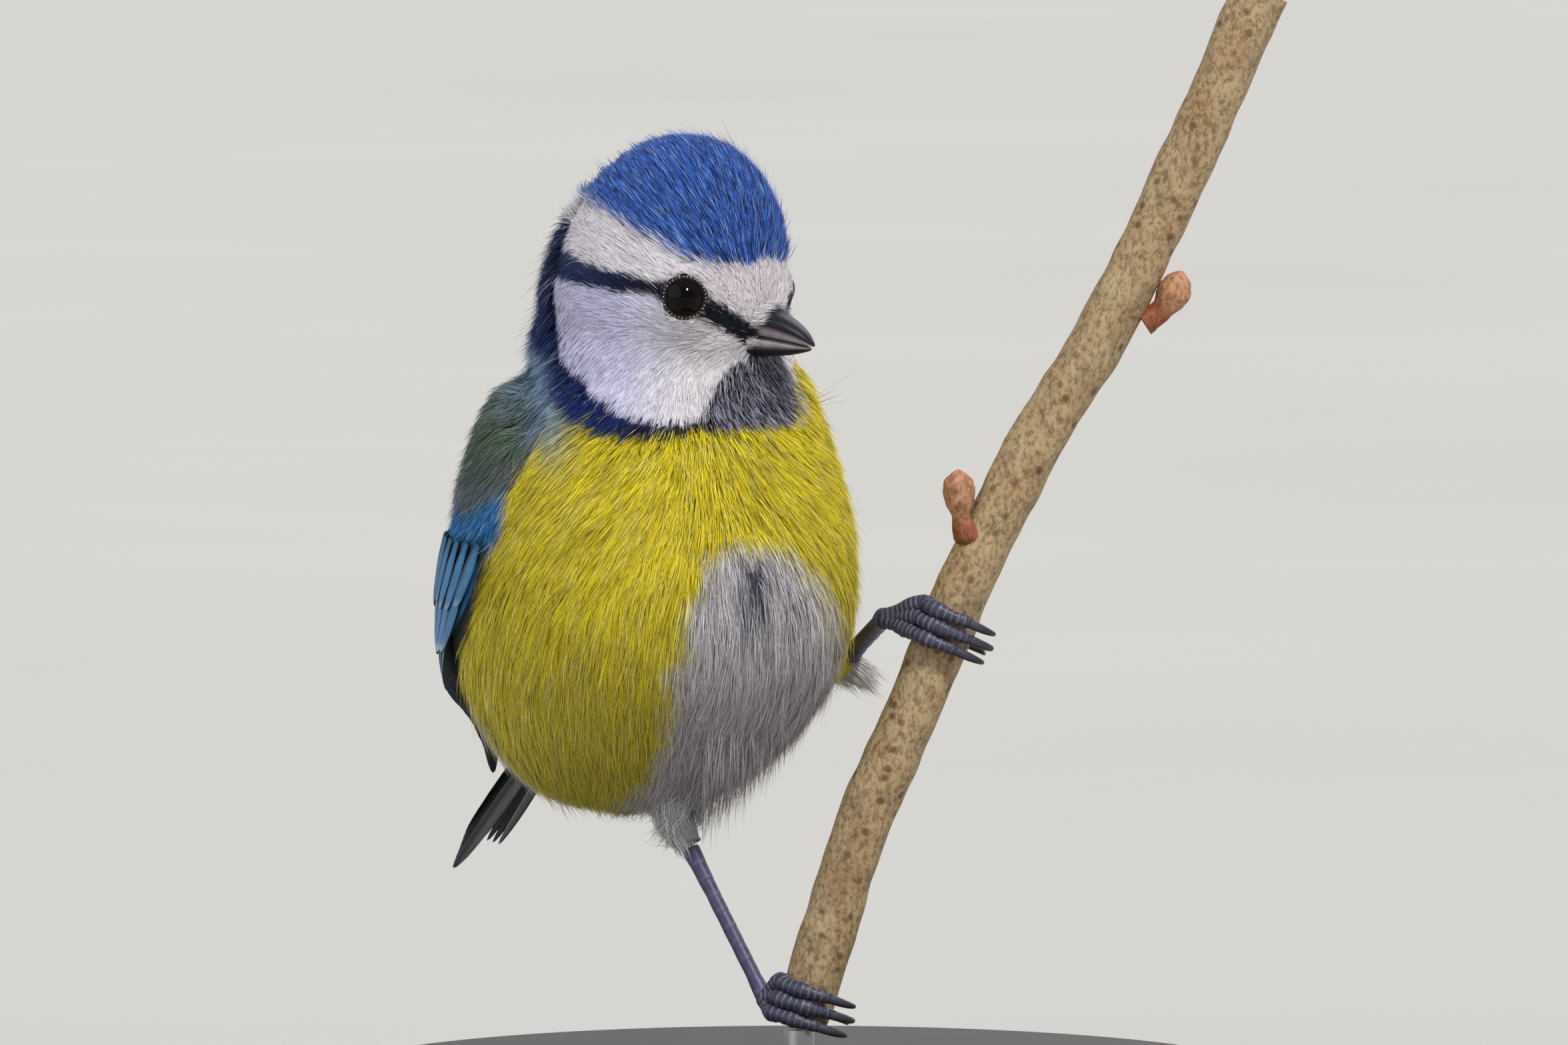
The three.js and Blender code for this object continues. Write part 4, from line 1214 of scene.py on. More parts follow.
def make_tail_coverts(look):
    random = np.random.default_rng(241)
    path = np.array([tail_place(along, 0, 0.5 - along) for along in np.linspace(0.02, 0.6, 60)])
    wide = (5.2, 4.8, 4.2, 2.4)
    high = (4.6, 3.8, 2.6, 0.9)
    none = (0, 0, 0)
    name = "coat_tail_root"
    count = TAIL_COVERTS
    round_fur(name, path, wide, high, none, count, paint_tail_root, 0.12, look, random, 0.8)


def make_belly_plumes(look):
    """Loose plumes that hang from the belly's lower edge."""
    random = np.random.default_rng(211)
    allowed = (skin_points[:, 2] < -19) & (skin_points[:, 1] < 6) & (skin_points[:, 0] > -7)
    allowed &= (skin_points[:, 2] > -28) & (in_view(skin_points) > -8.5)
    roots = skin_points[allowed]
    normals = skin_normals[allowed]
    pick = random.choice(len(roots), PLUMES)
    start = roots[pick]
    out = normals[pick]
    down = unit(np.array([0, 0, -0.8]) + 0.5 * lie(start, out) + 0.25 * out)
    down = down + 0.12 * random.normal(size=start.shape)
    reach = random.uniform(3.5, 7.5, (len(start), 1))
    reach = reach * np.interp(in_view(start), [-8.5, -3, 3], [1, 0.75, 0.3])[:, None]
    bend = np.array([0.1, 0.0, -0.8]) * random.uniform(0.2, 1.2, (len(start), 1))
    tint = markings(start) * np.exp(0.16 * random.normal(size=(len(start), 1)))
    dark = random.random(len(start)) < 0.16
    tint[dark] = mix(tint[dark], DOWN_DARK, 0.7)
    strands_between("coat_plumes", start, down * reach, bend, out, 0.085, tint, look, random)


def make_bristles(look):
    """Short feathers that reach forward over the bill's base."""
    random = np.random.default_rng(221)
    count = BRISTLES
    turn = random.uniform(0, 2 * math.pi, count)
    above = ramp(np.sin(turn), -0.15, 0.45)
    back = random.uniform(0, 1.3, count)
    left = (2.75 + 0.4 * back) * np.cos(turn)
    start = in_head(12.5 - back, left, -3.2 + (2.6 + 0.4 * back) * np.sin(turn))
    out = in_head(0 * turn, np.cos(turn), np.sin(turn)) - in_head(0, 0, 0)
    ahead = in_head(1.0, 0, 0) - in_head(0.0, 0, 0)
    reach = mix(0.9, 2.0, above) * random.uniform(0.6, 1.25, count)
    way = unit(ahead - 0.16 * out + 0.12 * random.normal(size=(count, 3))) * reach[:, None]
    way = way + (in_head(0, 0, 1) - in_head(0, 0, 0)) * (0.25 * above * reach)[:, None]
    bend = -0.12 * out
    tint = np.tile(mix(BROW_WHITE, FACE_WHITE, 0.5), (count, 1))
    lores = ramp(np.abs(np.sin(turn) + 0.02), 0.3, 0.12) * ramp(np.abs(np.cos(turn)), 0.5, 0.9)
    tint = over(tint, STRIPE_DARK, lores)
    tint = over(tint, BIB_DARK, ramp(np.sin(turn), -0.4, -0.75))
    tint = tint * np.exp(0.12 * random.normal(size=(count, 1)))
    strands_between("coat_bristles", start, way, bend, out, 0.07, tint, look, random)


def make_whiskers(look):
    """A few fine hairs that stand out beside the breast."""
    random = np.random.default_rng(231)
    band = (skin_points[:, 2] > 11.8) & (skin_points[:, 2] < 13.6)
    row = np.flatnonzero(band)[np.argsort(in_view(skin_points[band]))[-WHISKER_ROOTS:]]
    row = random.choice(row, WHISKERS)
    right = in_plane(1, 0, 0.35) - in_plane(0, 0, 0)
    way = (right + 0.25 * random.normal(size=(WHISKERS, 3))) * random.uniform(2.6, 4.6, (WHISKERS, 1))
    bend = np.array([0, 0, 0.5]) * random.normal(size=(WHISKERS, 1))
    tint = np.tile(THIGH_WHITE * 0.8, (WHISKERS, 1))
    out = skin_normals[row]
    strands_between("coat_whiskers", skin_points[row], way, bend, out, 0.1, tint, look, random)


def make_skin():
    # the skin takes its plumage colour at seven tenths: painted shade under the coat, seen through its gaps
    piece = build("skin", skin_points, [skin_quads], markings(skin_points) * 0.7)
    piece.data.materials.append(plumage_material("skin_plumage"))
    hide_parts(*FLESH)
    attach(piece, "root")


def make_coat():
    look = plumage_material("plumage")
    for i, (name, spec, spacing, slot, test) in enumerate(COAT):
        random = np.random.default_rng(100 + i)
        roots = scatter(region(test), spacing, random)
        tufts(name, roots, spec, look, random)
    make_thighs(look)
    make_tail_coverts(look)
    make_belly_plumes(look)
    make_bristles(look)
    make_whiskers(look)


# Blades: the feathers of wings and tail

BLADE_ROWS = 16
BLADE_COLUMNS = 9


def blade(root, middle, tip, out, width, roll, colours, random, thickness=0.16, lean=0.0, tip_power=5):
    """A feather as a thin closed blade with its shaft raised, its tint and its barb coordinates."""
    bend = 2 * middle - (root + tip) / 2
    t = 1 - np.power(1 - np.linspace(0, 1, BLADE_ROWS), 1.4)
    t = t[:, None]
    line = (1 - t) ** 2 * root + 2 * t * (1 - t) * bend + t**2 * tip
    tangent = unit(2 * (1 - t) * (bend - root) + 2 * t * (tip - bend))
    side = unit(np.cross(tangent, out))
    up = unit(np.cross(side, tangent))
    side = side * math.cos(roll) + up * math.sin(roll)
    up = unit(np.cross(side, tangent))
    length = np.linalg.norm(tip - root)
    q = np.linspace(-1, 1, BLADE_COLUMNS)
    broad = np.minimum(1, 0.5 + 1.5 * t) * np.sqrt(np.maximum(0.02, 1 - np.power(t, tip_power)))
    fray = 1 - 0.05 * random.random((BLADE_ROWS, BLADE_COLUMNS)) * np.abs(q)
    across = width / 2 * (q + lean * (1 - q * q)) * broad * fray
    crown = 0.1 * width * (1 - q * q) * broad
    shaft = 0.09 * np.exp(-((q * width / 2) ** 2) / 0.02) * (1 - 0.7 * t)
    half = thickness / 2 * (1 - 0.7 * np.abs(q)) * (1 - 0.5 * t)
    centre = line[:, None, :] + side[:, None, :] * across[..., None] + up[:, None, :] * crown[..., None]
    top = centre + up[:, None, :] * (half + shaft)[..., None]
    low = centre - up[:, None, :] * half[..., None]
    count = BLADE_ROWS * BLADE_COLUMNS
    points = np.concatenate([top.reshape(-1, 3), low.reshape(-1, 3)])
    sheet = grid_faces(BLADE_ROWS, BLADE_COLUMNS, False)
    index = np.arange(count).reshape(BLADE_ROWS, BLADE_COLUMNS)
    rim = np.concatenate([index[0], index[1:, -1], index[-1, -2::-1], index[-2:0:-1, 0]])
    after = np.roll(rim, -1)
    edge = np.stack([rim, rim + count, after + count, after], axis=-1)
    tint = colours(t, q[None, :] * np.ones_like(t), random).reshape(-1, 3)
    uv = np.stack([(t * length * np.ones_like(q[None, :])).ravel(), across.ravel()], axis=-1)
    # the lower face takes half the tint: painted shade on each blade's underside
    return (
        points,
        [sheet[:, ::-1], sheet + count, edge],
        np.concatenate([tint, tint * 0.5]),
        np.concatenate([uv, uv]),
    )


def join_blades(name, blades, extra=()):
    """One mesh object from blades and plain pieces of points, polygons and tint."""
    points = []
    polygons = []
    tints = []
    uvs = []
    first = 0
    for part in [*blades, *extra]:
        part_uv = part[3] if len(part) > 3 else np.zeros((len(part[0]), 2))
        points.append(part[0])
        polygons.extend(p + first for p in part[1])
        tints.append(np.broadcast_to(part[2], part[0].shape))
        uvs.append(part_uv)
        first += len(part[0])
    return build(name, np.concatenate(points), polygons, np.concatenate(tints), np.concatenate(uvs), "Blade")


FLIGHT_DARK = srgb(44, 48, 58)
FLIGHT_EDGE = srgb(92, 136, 178)
COVERT_DARK = srgb(30, 46, 74)
TERTIAL = srgb(84, 108, 130)
TIP_WHITE = srgb(212, 220, 226)
TAIL_BLUE = srgb(74, 108, 156)
TAIL_DARK = srgb(34, 40, 56)


def edged(centre_colour, edge_colour, tip_colour, tip_share, edge_from=0.2, outer=-1):
    """A blade's colours: dark along its middle and inner web, bright along its outer web, pale tip, and
    painted shade towards its root.
    """

    def colours(t, q, random):
        outward = q * outer
        edge = ramp(outward, edge_from - 0.35, edge_from + 0.35)[..., None]
        colour = mix(centre_colour, edge_colour, edge)
        colour = mix(colour, tip_colour, tip_share * ramp(t + 0.12 * np.abs(q), 0.9, 0.98)[..., None])
        shaft = np.exp(-(q**2) / 0.004)[..., None]
        colour = mix(colour, centre_colour * 0.5, 0.7 * shaft)
        value = np.exp(0.09 * random.normal())
        # painted shade towards the blade's root, where other feathers overlap it
        return colour * value * (0.65 + 0.35 * ramp(t, 0, 0.3))[..., None]

    return colours


# Rows of a folded wing, from the longest feathers up to the shoulder
WING_ROWS = [
    dict(
        count=9,
        root=((0.56, 0.08), (0.56, 0.5)),
        tip=((0.8, 0.07), (1.04, 0.68)),
        height=(0.3, 0.9),
        width=3.0,
        colours=edged(FLIGHT_DARK, FLIGHT_EDGE, TIP_WHITE, 0.25, 0.55),
    ),
    dict(
        count=5,
        root=((0.5, 0.5), (0.42, 0.9)),
        tip=((0.93, 0.62), (0.66, 0.9)),
        height=(0.6, 1.5),
        width=4.4,
        colours=edged(FLIGHT_DARK, TERTIAL, TIP_WHITE, 0.7, 0.1),
    ),
    dict(
        count=3,
        root=((0.44, 0.04), (0.42, 0.16)),
        tip=((0.66, 0.03), (0.62, 0.14)),
        height=(0.4, 1.1),
        width=2.2,
        colours=edged(COVERT_DARK, COVERT_BLUE, TIP_WHITE, 0.1, 0.1),
    ),
    dict(
        count=11,
        root=((0.47, 0.12), (0.47, 0.86)),
        tip=((0.68, 0.05), (0.74, 0.8)),
        height=(0.6, 1.3),
        width=3.7,
        colours=edged(COVERT_DARK, COVERT_BLUE, TIP_WHITE, 0.7, -0.1),
    ),
    dict(
        count=12,
        root=((0.41, 0.06), (0.4, 0.86)),
        tip=((0.57, 0.05), (0.58, 0.84)),
        height=(0.8, 1.5),
        width=3.2,
        colours=edged(COVERT_DARK, COVERT_BLUE, TIP_WHITE, 0.35, -0.2),
    ),
]


def make_wing(name, side, look):
    random = np.random.default_rng(40 + side)
    blades = []
    for row in WING_ROWS:
        for i in range(row["count"]):
            share = i / (row["count"] - 1)
            root = mix(np.array(row["root"][0]), np.array(row["root"][1]), share)
            tip = mix(np.array(row["tip"][0]), np.array(row["tip"][1]), share)
            tip = tip + (random.random(2) - 0.5) * (0.016, 0.01)
            low, high = row["height"]
            middle = (root + tip) / 2
            centre = on_wing(middle[0], middle[1], (low + high) / 2, side)
            out = on_wing(middle[0], middle[1], high + 1, side) - on_wing(middle[0], middle[1], high, side)
            blades.append(
                blade(
                    on_wing(root[0], root[1], low, side),
                    centre,
                    on_wing(tip[0], tip[1], high, side),
                    unit(out),
                    row["width"] * (1 + 0.08 * (random.random() - 0.5)),
                    side * math.radians(13),
                    row["colours"] if side < 0 else mirrored(row["colours"]),
                    random,
                )
            )
    piece = join_blades(name, blades)
    piece.data.materials.append(look)
    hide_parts(name.replace("plumes", "wing"))
    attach(piece, "root")


def mirrored(colours):
    return lambda t, q, random: colours(t, -q, random)


def tail_frame():
    axis = unit(TAIL_TIP - TAIL_ROOT)
    across = np.array([1.0, 0, 0])
    turned = across * math.cos(-TAIL_ROLL) + np.cross(axis, across) * math.sin(-TAIL_ROLL)
    turned += axis * np.dot(axis, across) * (1 - math.cos(TAIL_ROLL))
    return turned, unit(np.cross(turned, axis))


def tail_place(along, aside, rise):
    across, up = tail_frame()
    return TAIL_ROOT + (TAIL_TIP - TAIL_ROOT) * along + across * aside + up * rise


def tail_core():
    """The closed root of the tail under its coverts."""
    rings = 16
    sides = 20
    around = np.arange(sides) * 2 * math.pi / sides
    points = []
    for i in range(rings + 1):
        along = i / rings
        open_ = 0.01 if i in (0, rings) else 1
        half = (TAIL_HALF - 1.5 - 1.2 * along) * open_
        thick = (2.8 - 2.2 * along) * open_
        across, up = tail_frame()
        centre = tail_place(along * 0.58, 0, -0.8 * along)
        flat = centre + np.outer(half * np.cos(around), across)
        points.append(flat + np.outer(thick * np.sin(around), up))
    points = np.concatenate(points)
    ring = np.arange(sides)
    ends = [ring[None, ::-1], (rings * sides + ring)[None, :]]
    return points, [grid_faces(rings + 1, sides, True), *ends], TAIL_DARK


def make_tail(look):
    random = np.random.default_rng(60)
    _, up = tail_frame()
    blades = []
    for i in range(12):
        place = i - 5.5
        rank = abs(place)
        drop = 0.9 - rank * 0.42
        aside = place * ((TAIL_HALF - 1.5) / 6)
        reach = 0.97 + 0.03 * rank / 6
        edge = TIP_WHITE if rank > 5 else TAIL_BLUE
        blades.append(
            blade(
                tail_place(0.3, aside * 0.4, drop * 0.6),
                tail_place(0.64, aside * 0.75, drop * 0.9),
                tail_place(reach, aside, drop),
                up,
                3.3,
                math.copysign(math.radians(7), place),
                edged(TAIL_DARK, edge, TAIL_BLUE, 0.3, 0.3, -1 if place > 0 else 1),
                random,
                tip_power=7,
            )
        )
    piece = join_blades("plumes_tail", blades, [tail_core()])
    piece.data.materials.append(look)
    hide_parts("tail")
    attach(piece, "root")


# Eyes and lids


def eye_axes(side):
    """The eye's centre and its outward direction."""
    out = unit(np.array([EYE_PLACE[0] / HEAD_LENGTH**2, side * EYE_PLACE[1] / HEAD_WIDTH**2, 0]))
    centre = in_head(
        EYE_PLACE[0] - out[0] * EYE_SUNK, side * EYE_PLACE[1] - out[1] * EYE_SUNK, EYE_PLACE[2]
    )
    surface = in_head(EYE_PLACE[0], side * EYE_PLACE[1], EYE_PLACE[2])
    return centre, unit(surface - centre)


def eye_material():
    look, nodes, links, shader = material("eye_glass")
    tint = node(nodes, "ShaderNodeAttribute", attribute_name="tint")
    rays = noise_node(nodes, links, 3000, 3)
    shade = stops(nodes, links, rays.outputs["Fac"], [(0.3, (0.55,) * 3), (0.7, (1,) * 3)])
    links.new(
        blended(nodes, links, "MULTIPLY", 1.0, tint.outputs["Color"], shade), shader.inputs["Base Color"]
    )
    shader.inputs["Roughness"].default_value = 0.05
    shader.inputs["Specular IOR Level"].default_value = 0.14
    return look


def make_eye(name, side, look):
    centre, out = eye_axes(side)
    rows = 40
    columns = 48
    a = unit(np.cross(out, (0, 0, 1)))
    b = np.cross(a, out)
    polar = np.linspace(0, math.pi, rows)[:, None]
    around = (np.arange(columns) * 2 * math.pi / columns)[None, :]
    flat = 1 + 0.06 * ramp(polar, 0.75, 0)
    ring = EYE_RADIUS * 0.99 * np.sin(np.maximum(polar, 0.002))
    points = (
        centre
        + out * (EYE_RADIUS * 0.99 * flat * np.cos(polar) * np.ones_like(around))[..., None]
        + a * (ring * np.cos(around))[..., None]
        + b * (ring * np.sin(around))[..., None]
    )
    pupil = ramp(polar * np.ones_like(around), 0.5, 0.42)[..., None]
    tint = mix(srgb(20, 9, 6), srgb(2, 2, 4), pupil)
    piece = build(name, points.reshape(-1, 3), [grid_faces(rows, columns, True)], tint.reshape(-1, 3))
    piece.data.materials.append(look)
    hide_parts(name.replace("eyeball", "eye"))
    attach(piece, "root")


LID_RING = 2.12
LID_POINTS = 34


def make_lid(name, side, look):
    """A dark soft ring round the eye, set with small pale points."""
    centre, out = eye_axes(side)
    a = unit(np.cross(out, (0, 0, 1)))
    b = np.cross(a, out)
    rise = math.sqrt(EYE_RADIUS**2 - LID_RING**2)
    turn = np.linspace(0, 2 * math.pi, 73)[:-1]
    loop = 72
    sides = 10
    parts = []
    ring_line = (
        centre
        + out * (rise + 0.05)
        + np.outer(LID_RING * np.cos(turn), a)
        + np.outer(LID_RING * 0.97 * np.sin(turn), b)
    )
    radial = unit(ring_line - centre - out * np.sum((ring_line - centre) * out, axis=1, keepdims=True))
    across = np.arange(sides) * 2 * math.pi / sides
    thick = 0.3
    points = (
        ring_line[:, None, :]
        + radial[:, None, :] * (thick * np.cos(across))[None, :, None]
        + out * (thick * 0.8 * np.sin(across))[None, :, None]
    ).reshape(-1, 3)
    i = np.arange(loop)[:, None]
    j = np.arange(sides)[None, :]
    k = (i + 1) % loop
    m = (j + 1) % sides
    quads = np.stack([i * sides + j, i * sides + m, k * sides + m, k * sides + j], axis=-1).reshape(-1, 4)
    parts.append((points, [quads], srgb(26, 22, 26)))
    random = np.random.default_rng(70 + side)
    for n in range(LID_POINTS):
        angle = 2 * math.pi * (n + 0.3 * random.random()) / LID_POINTS
        way = math.cos(angle) * a + 0.97 * math.sin(angle) * b
        spot = centre + out * (rise + 0.22) + way * (LID_RING + 0.1)
        size = 0.085 * (1 + 0.4 * random.random())
        ends = np.array([spot - way * size, spot, spot + way * size])
        bead, faces = tube(ends, [size * 0.6, size, size * 0.6], 6)
        parts.append((bead, faces, srgb(176, 160, 150) * random.uniform(0.5, 1)))
    points, polygons, tint = joined(parts)
    piece = build(name, points, polygons, tint)
    piece.data.materials.append(look)
    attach(piece, "root")


# Bill

UPPER = dict(
    forward=[10.5, 13, 15.4, 17.3, 18.5],
    top=[-0.6, -0.9, -1.75, -3.05, -4.5],
    low=[-3.7, -3.85, -4.2, -4.55, -4.75],
    half=[2.9, 2.55, 1.85, 1.05, 0.2],
)
LOWER = dict(
    forward=[10.5, 13, 15.3, 17, 18.1],
    top=[-3.6, -3.75, -4.15, -4.55, -4.85],
    low=[-5.9, -5.85, -5.7, -5.4, -5.1],
    half=[2.7, 2.25, 1.5, 0.8, 0.2],
)


def smooth_between(xs, ys, at):
    """A smooth curve through stations, read at places."""
    line = spline(np.stack([xs, ys, np.zeros(len(xs))], axis=-1), 80)
    return np.interp(at, line[:, 0], line[:, 1])


def bill_form(stations, upper):
    rows = 60
    columns = 48
    share = np.sin(np.linspace(0, math.pi / 2, rows))
    first = stations["forward"][0]
    last = stations["forward"][-1]
    forward = first + (last - first) * share
    top = smooth_between(stations["forward"], stations["top"], forward)[:, None]
    low = smooth_between(stations["forward"], stations["low"], forward)[:, None]
    half = smooth_between(stations["forward"], stations["half"], forward)[:, None]
    closed = np.sqrt(np.clip((1 - share) / 0.02, 0.0004, 1))[:, None]
    around = (np.arange(columns) * 2 * math.pi / columns)[None, :]
    mouth_side = np.sin(around) < 0 if upper else np.sin(around) > 0
    lift = np.sign(np.sin(around)) * np.abs(np.sin(around)) ** np.where(mouth_side, 0.4, 0.85)
    up = (top + low) / 2 + (top - low) / 2 * lift * closed
    points = in_head(forward[:, None] + 0 * around, half * np.cos(around) * closed, up).reshape(-1, 3)
    mouth = low if upper else top
    far = np.abs(up - mouth) / np.maximum(top - low, 0.3)
    reach = ramp(forward[:, None], 10.8, 12.5) * np.ones_like(up)
    pale = (ramp(far, 0.46, 0.24) if upper else ramp(far, 0.62, 0.3)) * reach
    tint = mix(srgb(14, 11, 24), srgb(166, 158, 166), 0.8 * pale[..., None])
    tint = mix(tint, srgb(84, 52, 44), 0.6 * (pale * (1 - pale) * 4 * reach)[..., None])
    ring = np.arange(columns)
    ends = [ring[None, ::-1], ((rows - 1) * columns + ring)[None, :]]
    return points, [grid_faces(rows, columns, True), *ends], tint.reshape(-1, 3)


def bill_material():
    look, nodes, links, shader = material("bill_horn")
    tint = node(nodes, "ShaderNodeAttribute", attribute_name="tint")
    grain = noise_node(nodes, links, 900, 4, 0.6)
    shade = stops(nodes, links, grain.outputs["Fac"], [(0.3, (0.7,) * 3), (0.7, (1,) * 3)])
    links.new(
        blended(nodes, links, "MULTIPLY", 1.0, tint.outputs["Color"], shade), shader.inputs["Base Color"]
    )
    shader.inputs["Roughness"].default_value = 0.45
    shader.inputs["Specular IOR Level"].default_value = 0.28
    add_bump(nodes, links, shader, grain.outputs["Fac"], 0.25, 0.00008)
    return look


def make_bill():
    look = bill_material()
    for name, stations, upper in (("bill_above", UPPER, True), ("bill_below", LOWER, False)):
        piece = build(name, *bill_form(stations, upper))
        piece.data.materials.append(look)
        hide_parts("bill_upper" if upper else "bill_lower")
        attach(piece, "root")


# Stem, with legs and claws round it

STEM_STEPS = 400
STEM_CURVE = spline([in_plane(a, STEM_DEPTH, h) for a, h in STEM_LINE], STEM_STEPS)
TOE_RADIUS = 0.68
GRIP = STEM_RADIUS + GAP + TOE_RADIUS
FEET = {
    "left": dict(
        height=-10.6,
        ankle=KNEES[1],
        base=(186, 6.4, -1.6),
        shank=0.92,
        toes=((1.6, 62, 6), (0, 50, -22), (-1.6, 66, 4), (-0.9, 296, 352)),
    ),
    "right": dict(
        height=-50.2,
        ankle=KNEES[-1],
        base=(172, 4.4, -0.6),
        shank=0.76,
        toes=((1.6, 60, 6), (0, 48, -16), (-1.6, 64, 4), (-0.6, 296, 352)),
    ),
}


def stem_frame(height):
    index = int(np.argmin(np.abs(STEM_CURVE[:, 2] - height)))
    axis = unit(STEM_CURVE[min(index + 1, STEM_STEPS - 1)] - STEM_CURVE[max(index - 1, 0)])
    to_front = in_plane(0, -1, 0) - in_plane(0, 0, 0)
    to_right = unit(np.cross(to_front, axis))
    if to_right[0] < 0:
        to_right = -to_right
    return STEM_CURVE[index], axis, to_front, to_right


def round_stem(height, degrees, radius, along):
    centre, axis, to_front, to_right = stem_frame(height)
    angle = math.radians(degrees)
    return centre + to_right * radius * math.cos(angle) + to_front * radius * math.sin(angle) + axis * along


TOE_JOINTS = 3
TOE_SCUTE = 0.62


def foot_base(foot):
    degrees, radius, along = foot["base"]
    return round_stem(foot["height"], degrees, radius, along)


def toe_line(foot, toe):
    along, end, _ = toe
    start = 212 if end > 180 else 150
    points = [foot_base(foot)]
    for i in range(6):
        points.append(round_stem(foot["height"], start + (end - start) * i / 5, GRIP, along))
    return spline(points, 90)


def scutes(step, depth):
    """Bumps of overlapping plates along a toe or shank."""

    def bumps(along, around):
        saw = (along / step) % 1.0
        plates = depth * (saw**0.6 - 0.5) * ramp(np.cos(around - 1.2), -0.4, 0.3)
        pads = 0.6 * depth * np.sin(2 * math.pi * along / (step * 1.6))
        return plates + pads * ramp(np.cos(around - 1.2), -0.2, -0.8)

    return bumps


def leg_material():
    look, nodes, links, shader = material("leg_scales")
    tint = node(nodes, "ShaderNodeAttribute", attribute_name="tint")
    scale = noise_node(nodes, links, 1800, 3)
    shade = stops(nodes, links, scale.outputs["Fac"], [(0.3, (0.62,) * 3), (0.65, (1,) * 3)])
    links.new(
        blended(nodes, links, "MULTIPLY", 1.0, tint.outputs["Color"], shade), shader.inputs["Base Color"]
    )
    shader.inputs["Roughness"].default_value = 0.45
    add_bump(nodes, links, shader, scale.outputs["Fac"], 0.35, 0.0001)
    return look


LEG_SLATE = srgb(58, 60, 84)
LEG_PALE = srgb(138, 136, 150)
SHANK_VIOLET = srgb(78, 76, 122)


def scute_tint(points, line, step):
    """Slate, paler at the edge of each plate."""
    length = np.concatenate([[0], np.cumsum(np.linalg.norm(np.diff(line, axis=0), axis=1))])
    sides = (len(points) - 2) // len(line)
    along = np.repeat(length, sides)
    edge = ramp((along / step) % 1.0, 0.72, 0.95)
    tint = LEG_SLATE + (LEG_PALE - LEG_SLATE) * edge[:, None] * 0.7
    return np.concatenate([tint, [LEG_SLATE], [LEG_SLATE]])


def make_legs():
    skin = leg_material()
    horn = bill_material()
    for name, foot in FEET.items():
        base = foot_base(foot)
        shank_line = spline([foot["ankle"], (foot["ankle"] + base) / 2, base], 90)
        share = np.linspace(0, 1, 90)
        radii = foot["shank"] * np.interp(share, [0, 0.1, 0.3, 0.85, 1], [1.3, 1.15, 1.0, 1.0, 1.25])
        points, faces = tube(shank_line, radii, 20, scutes(1.9, 0.045))
        tint = mix(scute_tint(points, shank_line, 1.9), SHANK_VIOLET, 0.6)
        shank = build("shank_" + name, points, faces, tint)
        shank.data.materials.append(skin)
        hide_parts("tarsus_" + name)
        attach(shank, "root")
        parts = []
        for number, toe in enumerate(foot["toes"], 1):
            line = toe_line(foot, toe)
            share = np.linspace(0, 1, len(line))
            joints = 0.08 * np.cos(share * TOE_JOINTS * 2 * math.pi)
            radii = np.interp(share, [0, 0.5, 0.92, 1], [0.92, 0.86, 0.66, 0.52]) + joints
            points, faces = tube(line, radii, 20, scutes(TOE_SCUTE, 0.08))
            parts.append((points, faces, scute_tint(points, line, TOE_SCUTE)))
            claw = make_claw(foot, toe)
            claw_piece = build(f"talon_{name}_{number}", *claw)
            claw_piece.data.materials.append(horn)
            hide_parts(f"claw_{name}_{number}")
            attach(claw_piece, "root")
        ball_line = spline([base + (0, 0, 0.95), base, base - (0, 0, 0.95)], 12)
        ball_radii = 1.05 * np.sqrt(np.clip(1 - np.linspace(-1, 1, 12) ** 2, 0.02, 1))
        points, faces = tube(ball_line, ball_radii, 16)
        parts.append((points, faces, LEG_SLATE))
        points, faces, tint = joined(parts)
        piece = build("toes_" + name, points, faces, tint)
        piece.data.materials.append(skin)
        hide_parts("foot_" + name)
        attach(piece, "root")


def make_claw(foot, toe):
    along, end, claw = toe
    turn = 1 if end > 180 else -1
    reach = abs(claw - end)
    points = []
    for i in range(5):
        share = i / 4
        degrees = end + turn * (reach * share - 1)
        radius = GRIP + 0.3 + 0.9 * math.sin(math.pi * share * 0.8)
        points.append(round_stem(foot["height"], degrees, radius, along - 0.3 * share))
    line = spline(points, 24)
    radii = np.interp(np.linspace(0, 1, 24), [0, 0.3, 0.7, 1], [0.54, 0.45, 0.26, 0.04])
    points, faces = tube(line, radii, 12)
    shade = np.repeat(np.linspace(0, 1, 24), 12)
    tint = mix(srgb(70, 72, 82), srgb(26, 26, 32), np.concatenate([shade, [0, 1]])[:, None])
    return points, faces, tint


BUDS = [
    ([(37.6, -6, 21.4), (39.4, -6, 22.6), (40.8, -6, 24.6), (41.6, -6, 26.8)], (1.5, 1.2, 1.8, 0.9)),
    (
        [(20.4, -6.4, -1.4), (18.8, -7.4, 0.2), (18.4, -7.8, 3), (18.2, -7.8, 6.1)],
        (2, 1.7, 0.95, 1.55, 1.65, 1.1),
    ),
]
KNOBS = [((18.9, -7, -1.7), 1.3), ((45.8, -6.5, 54.2), 1.5)]
BARK_GOLD = srgb(182, 160, 122)
BUD_PINK = srgb(192, 142, 106)
BUD_RED = srgb(152, 84, 52)


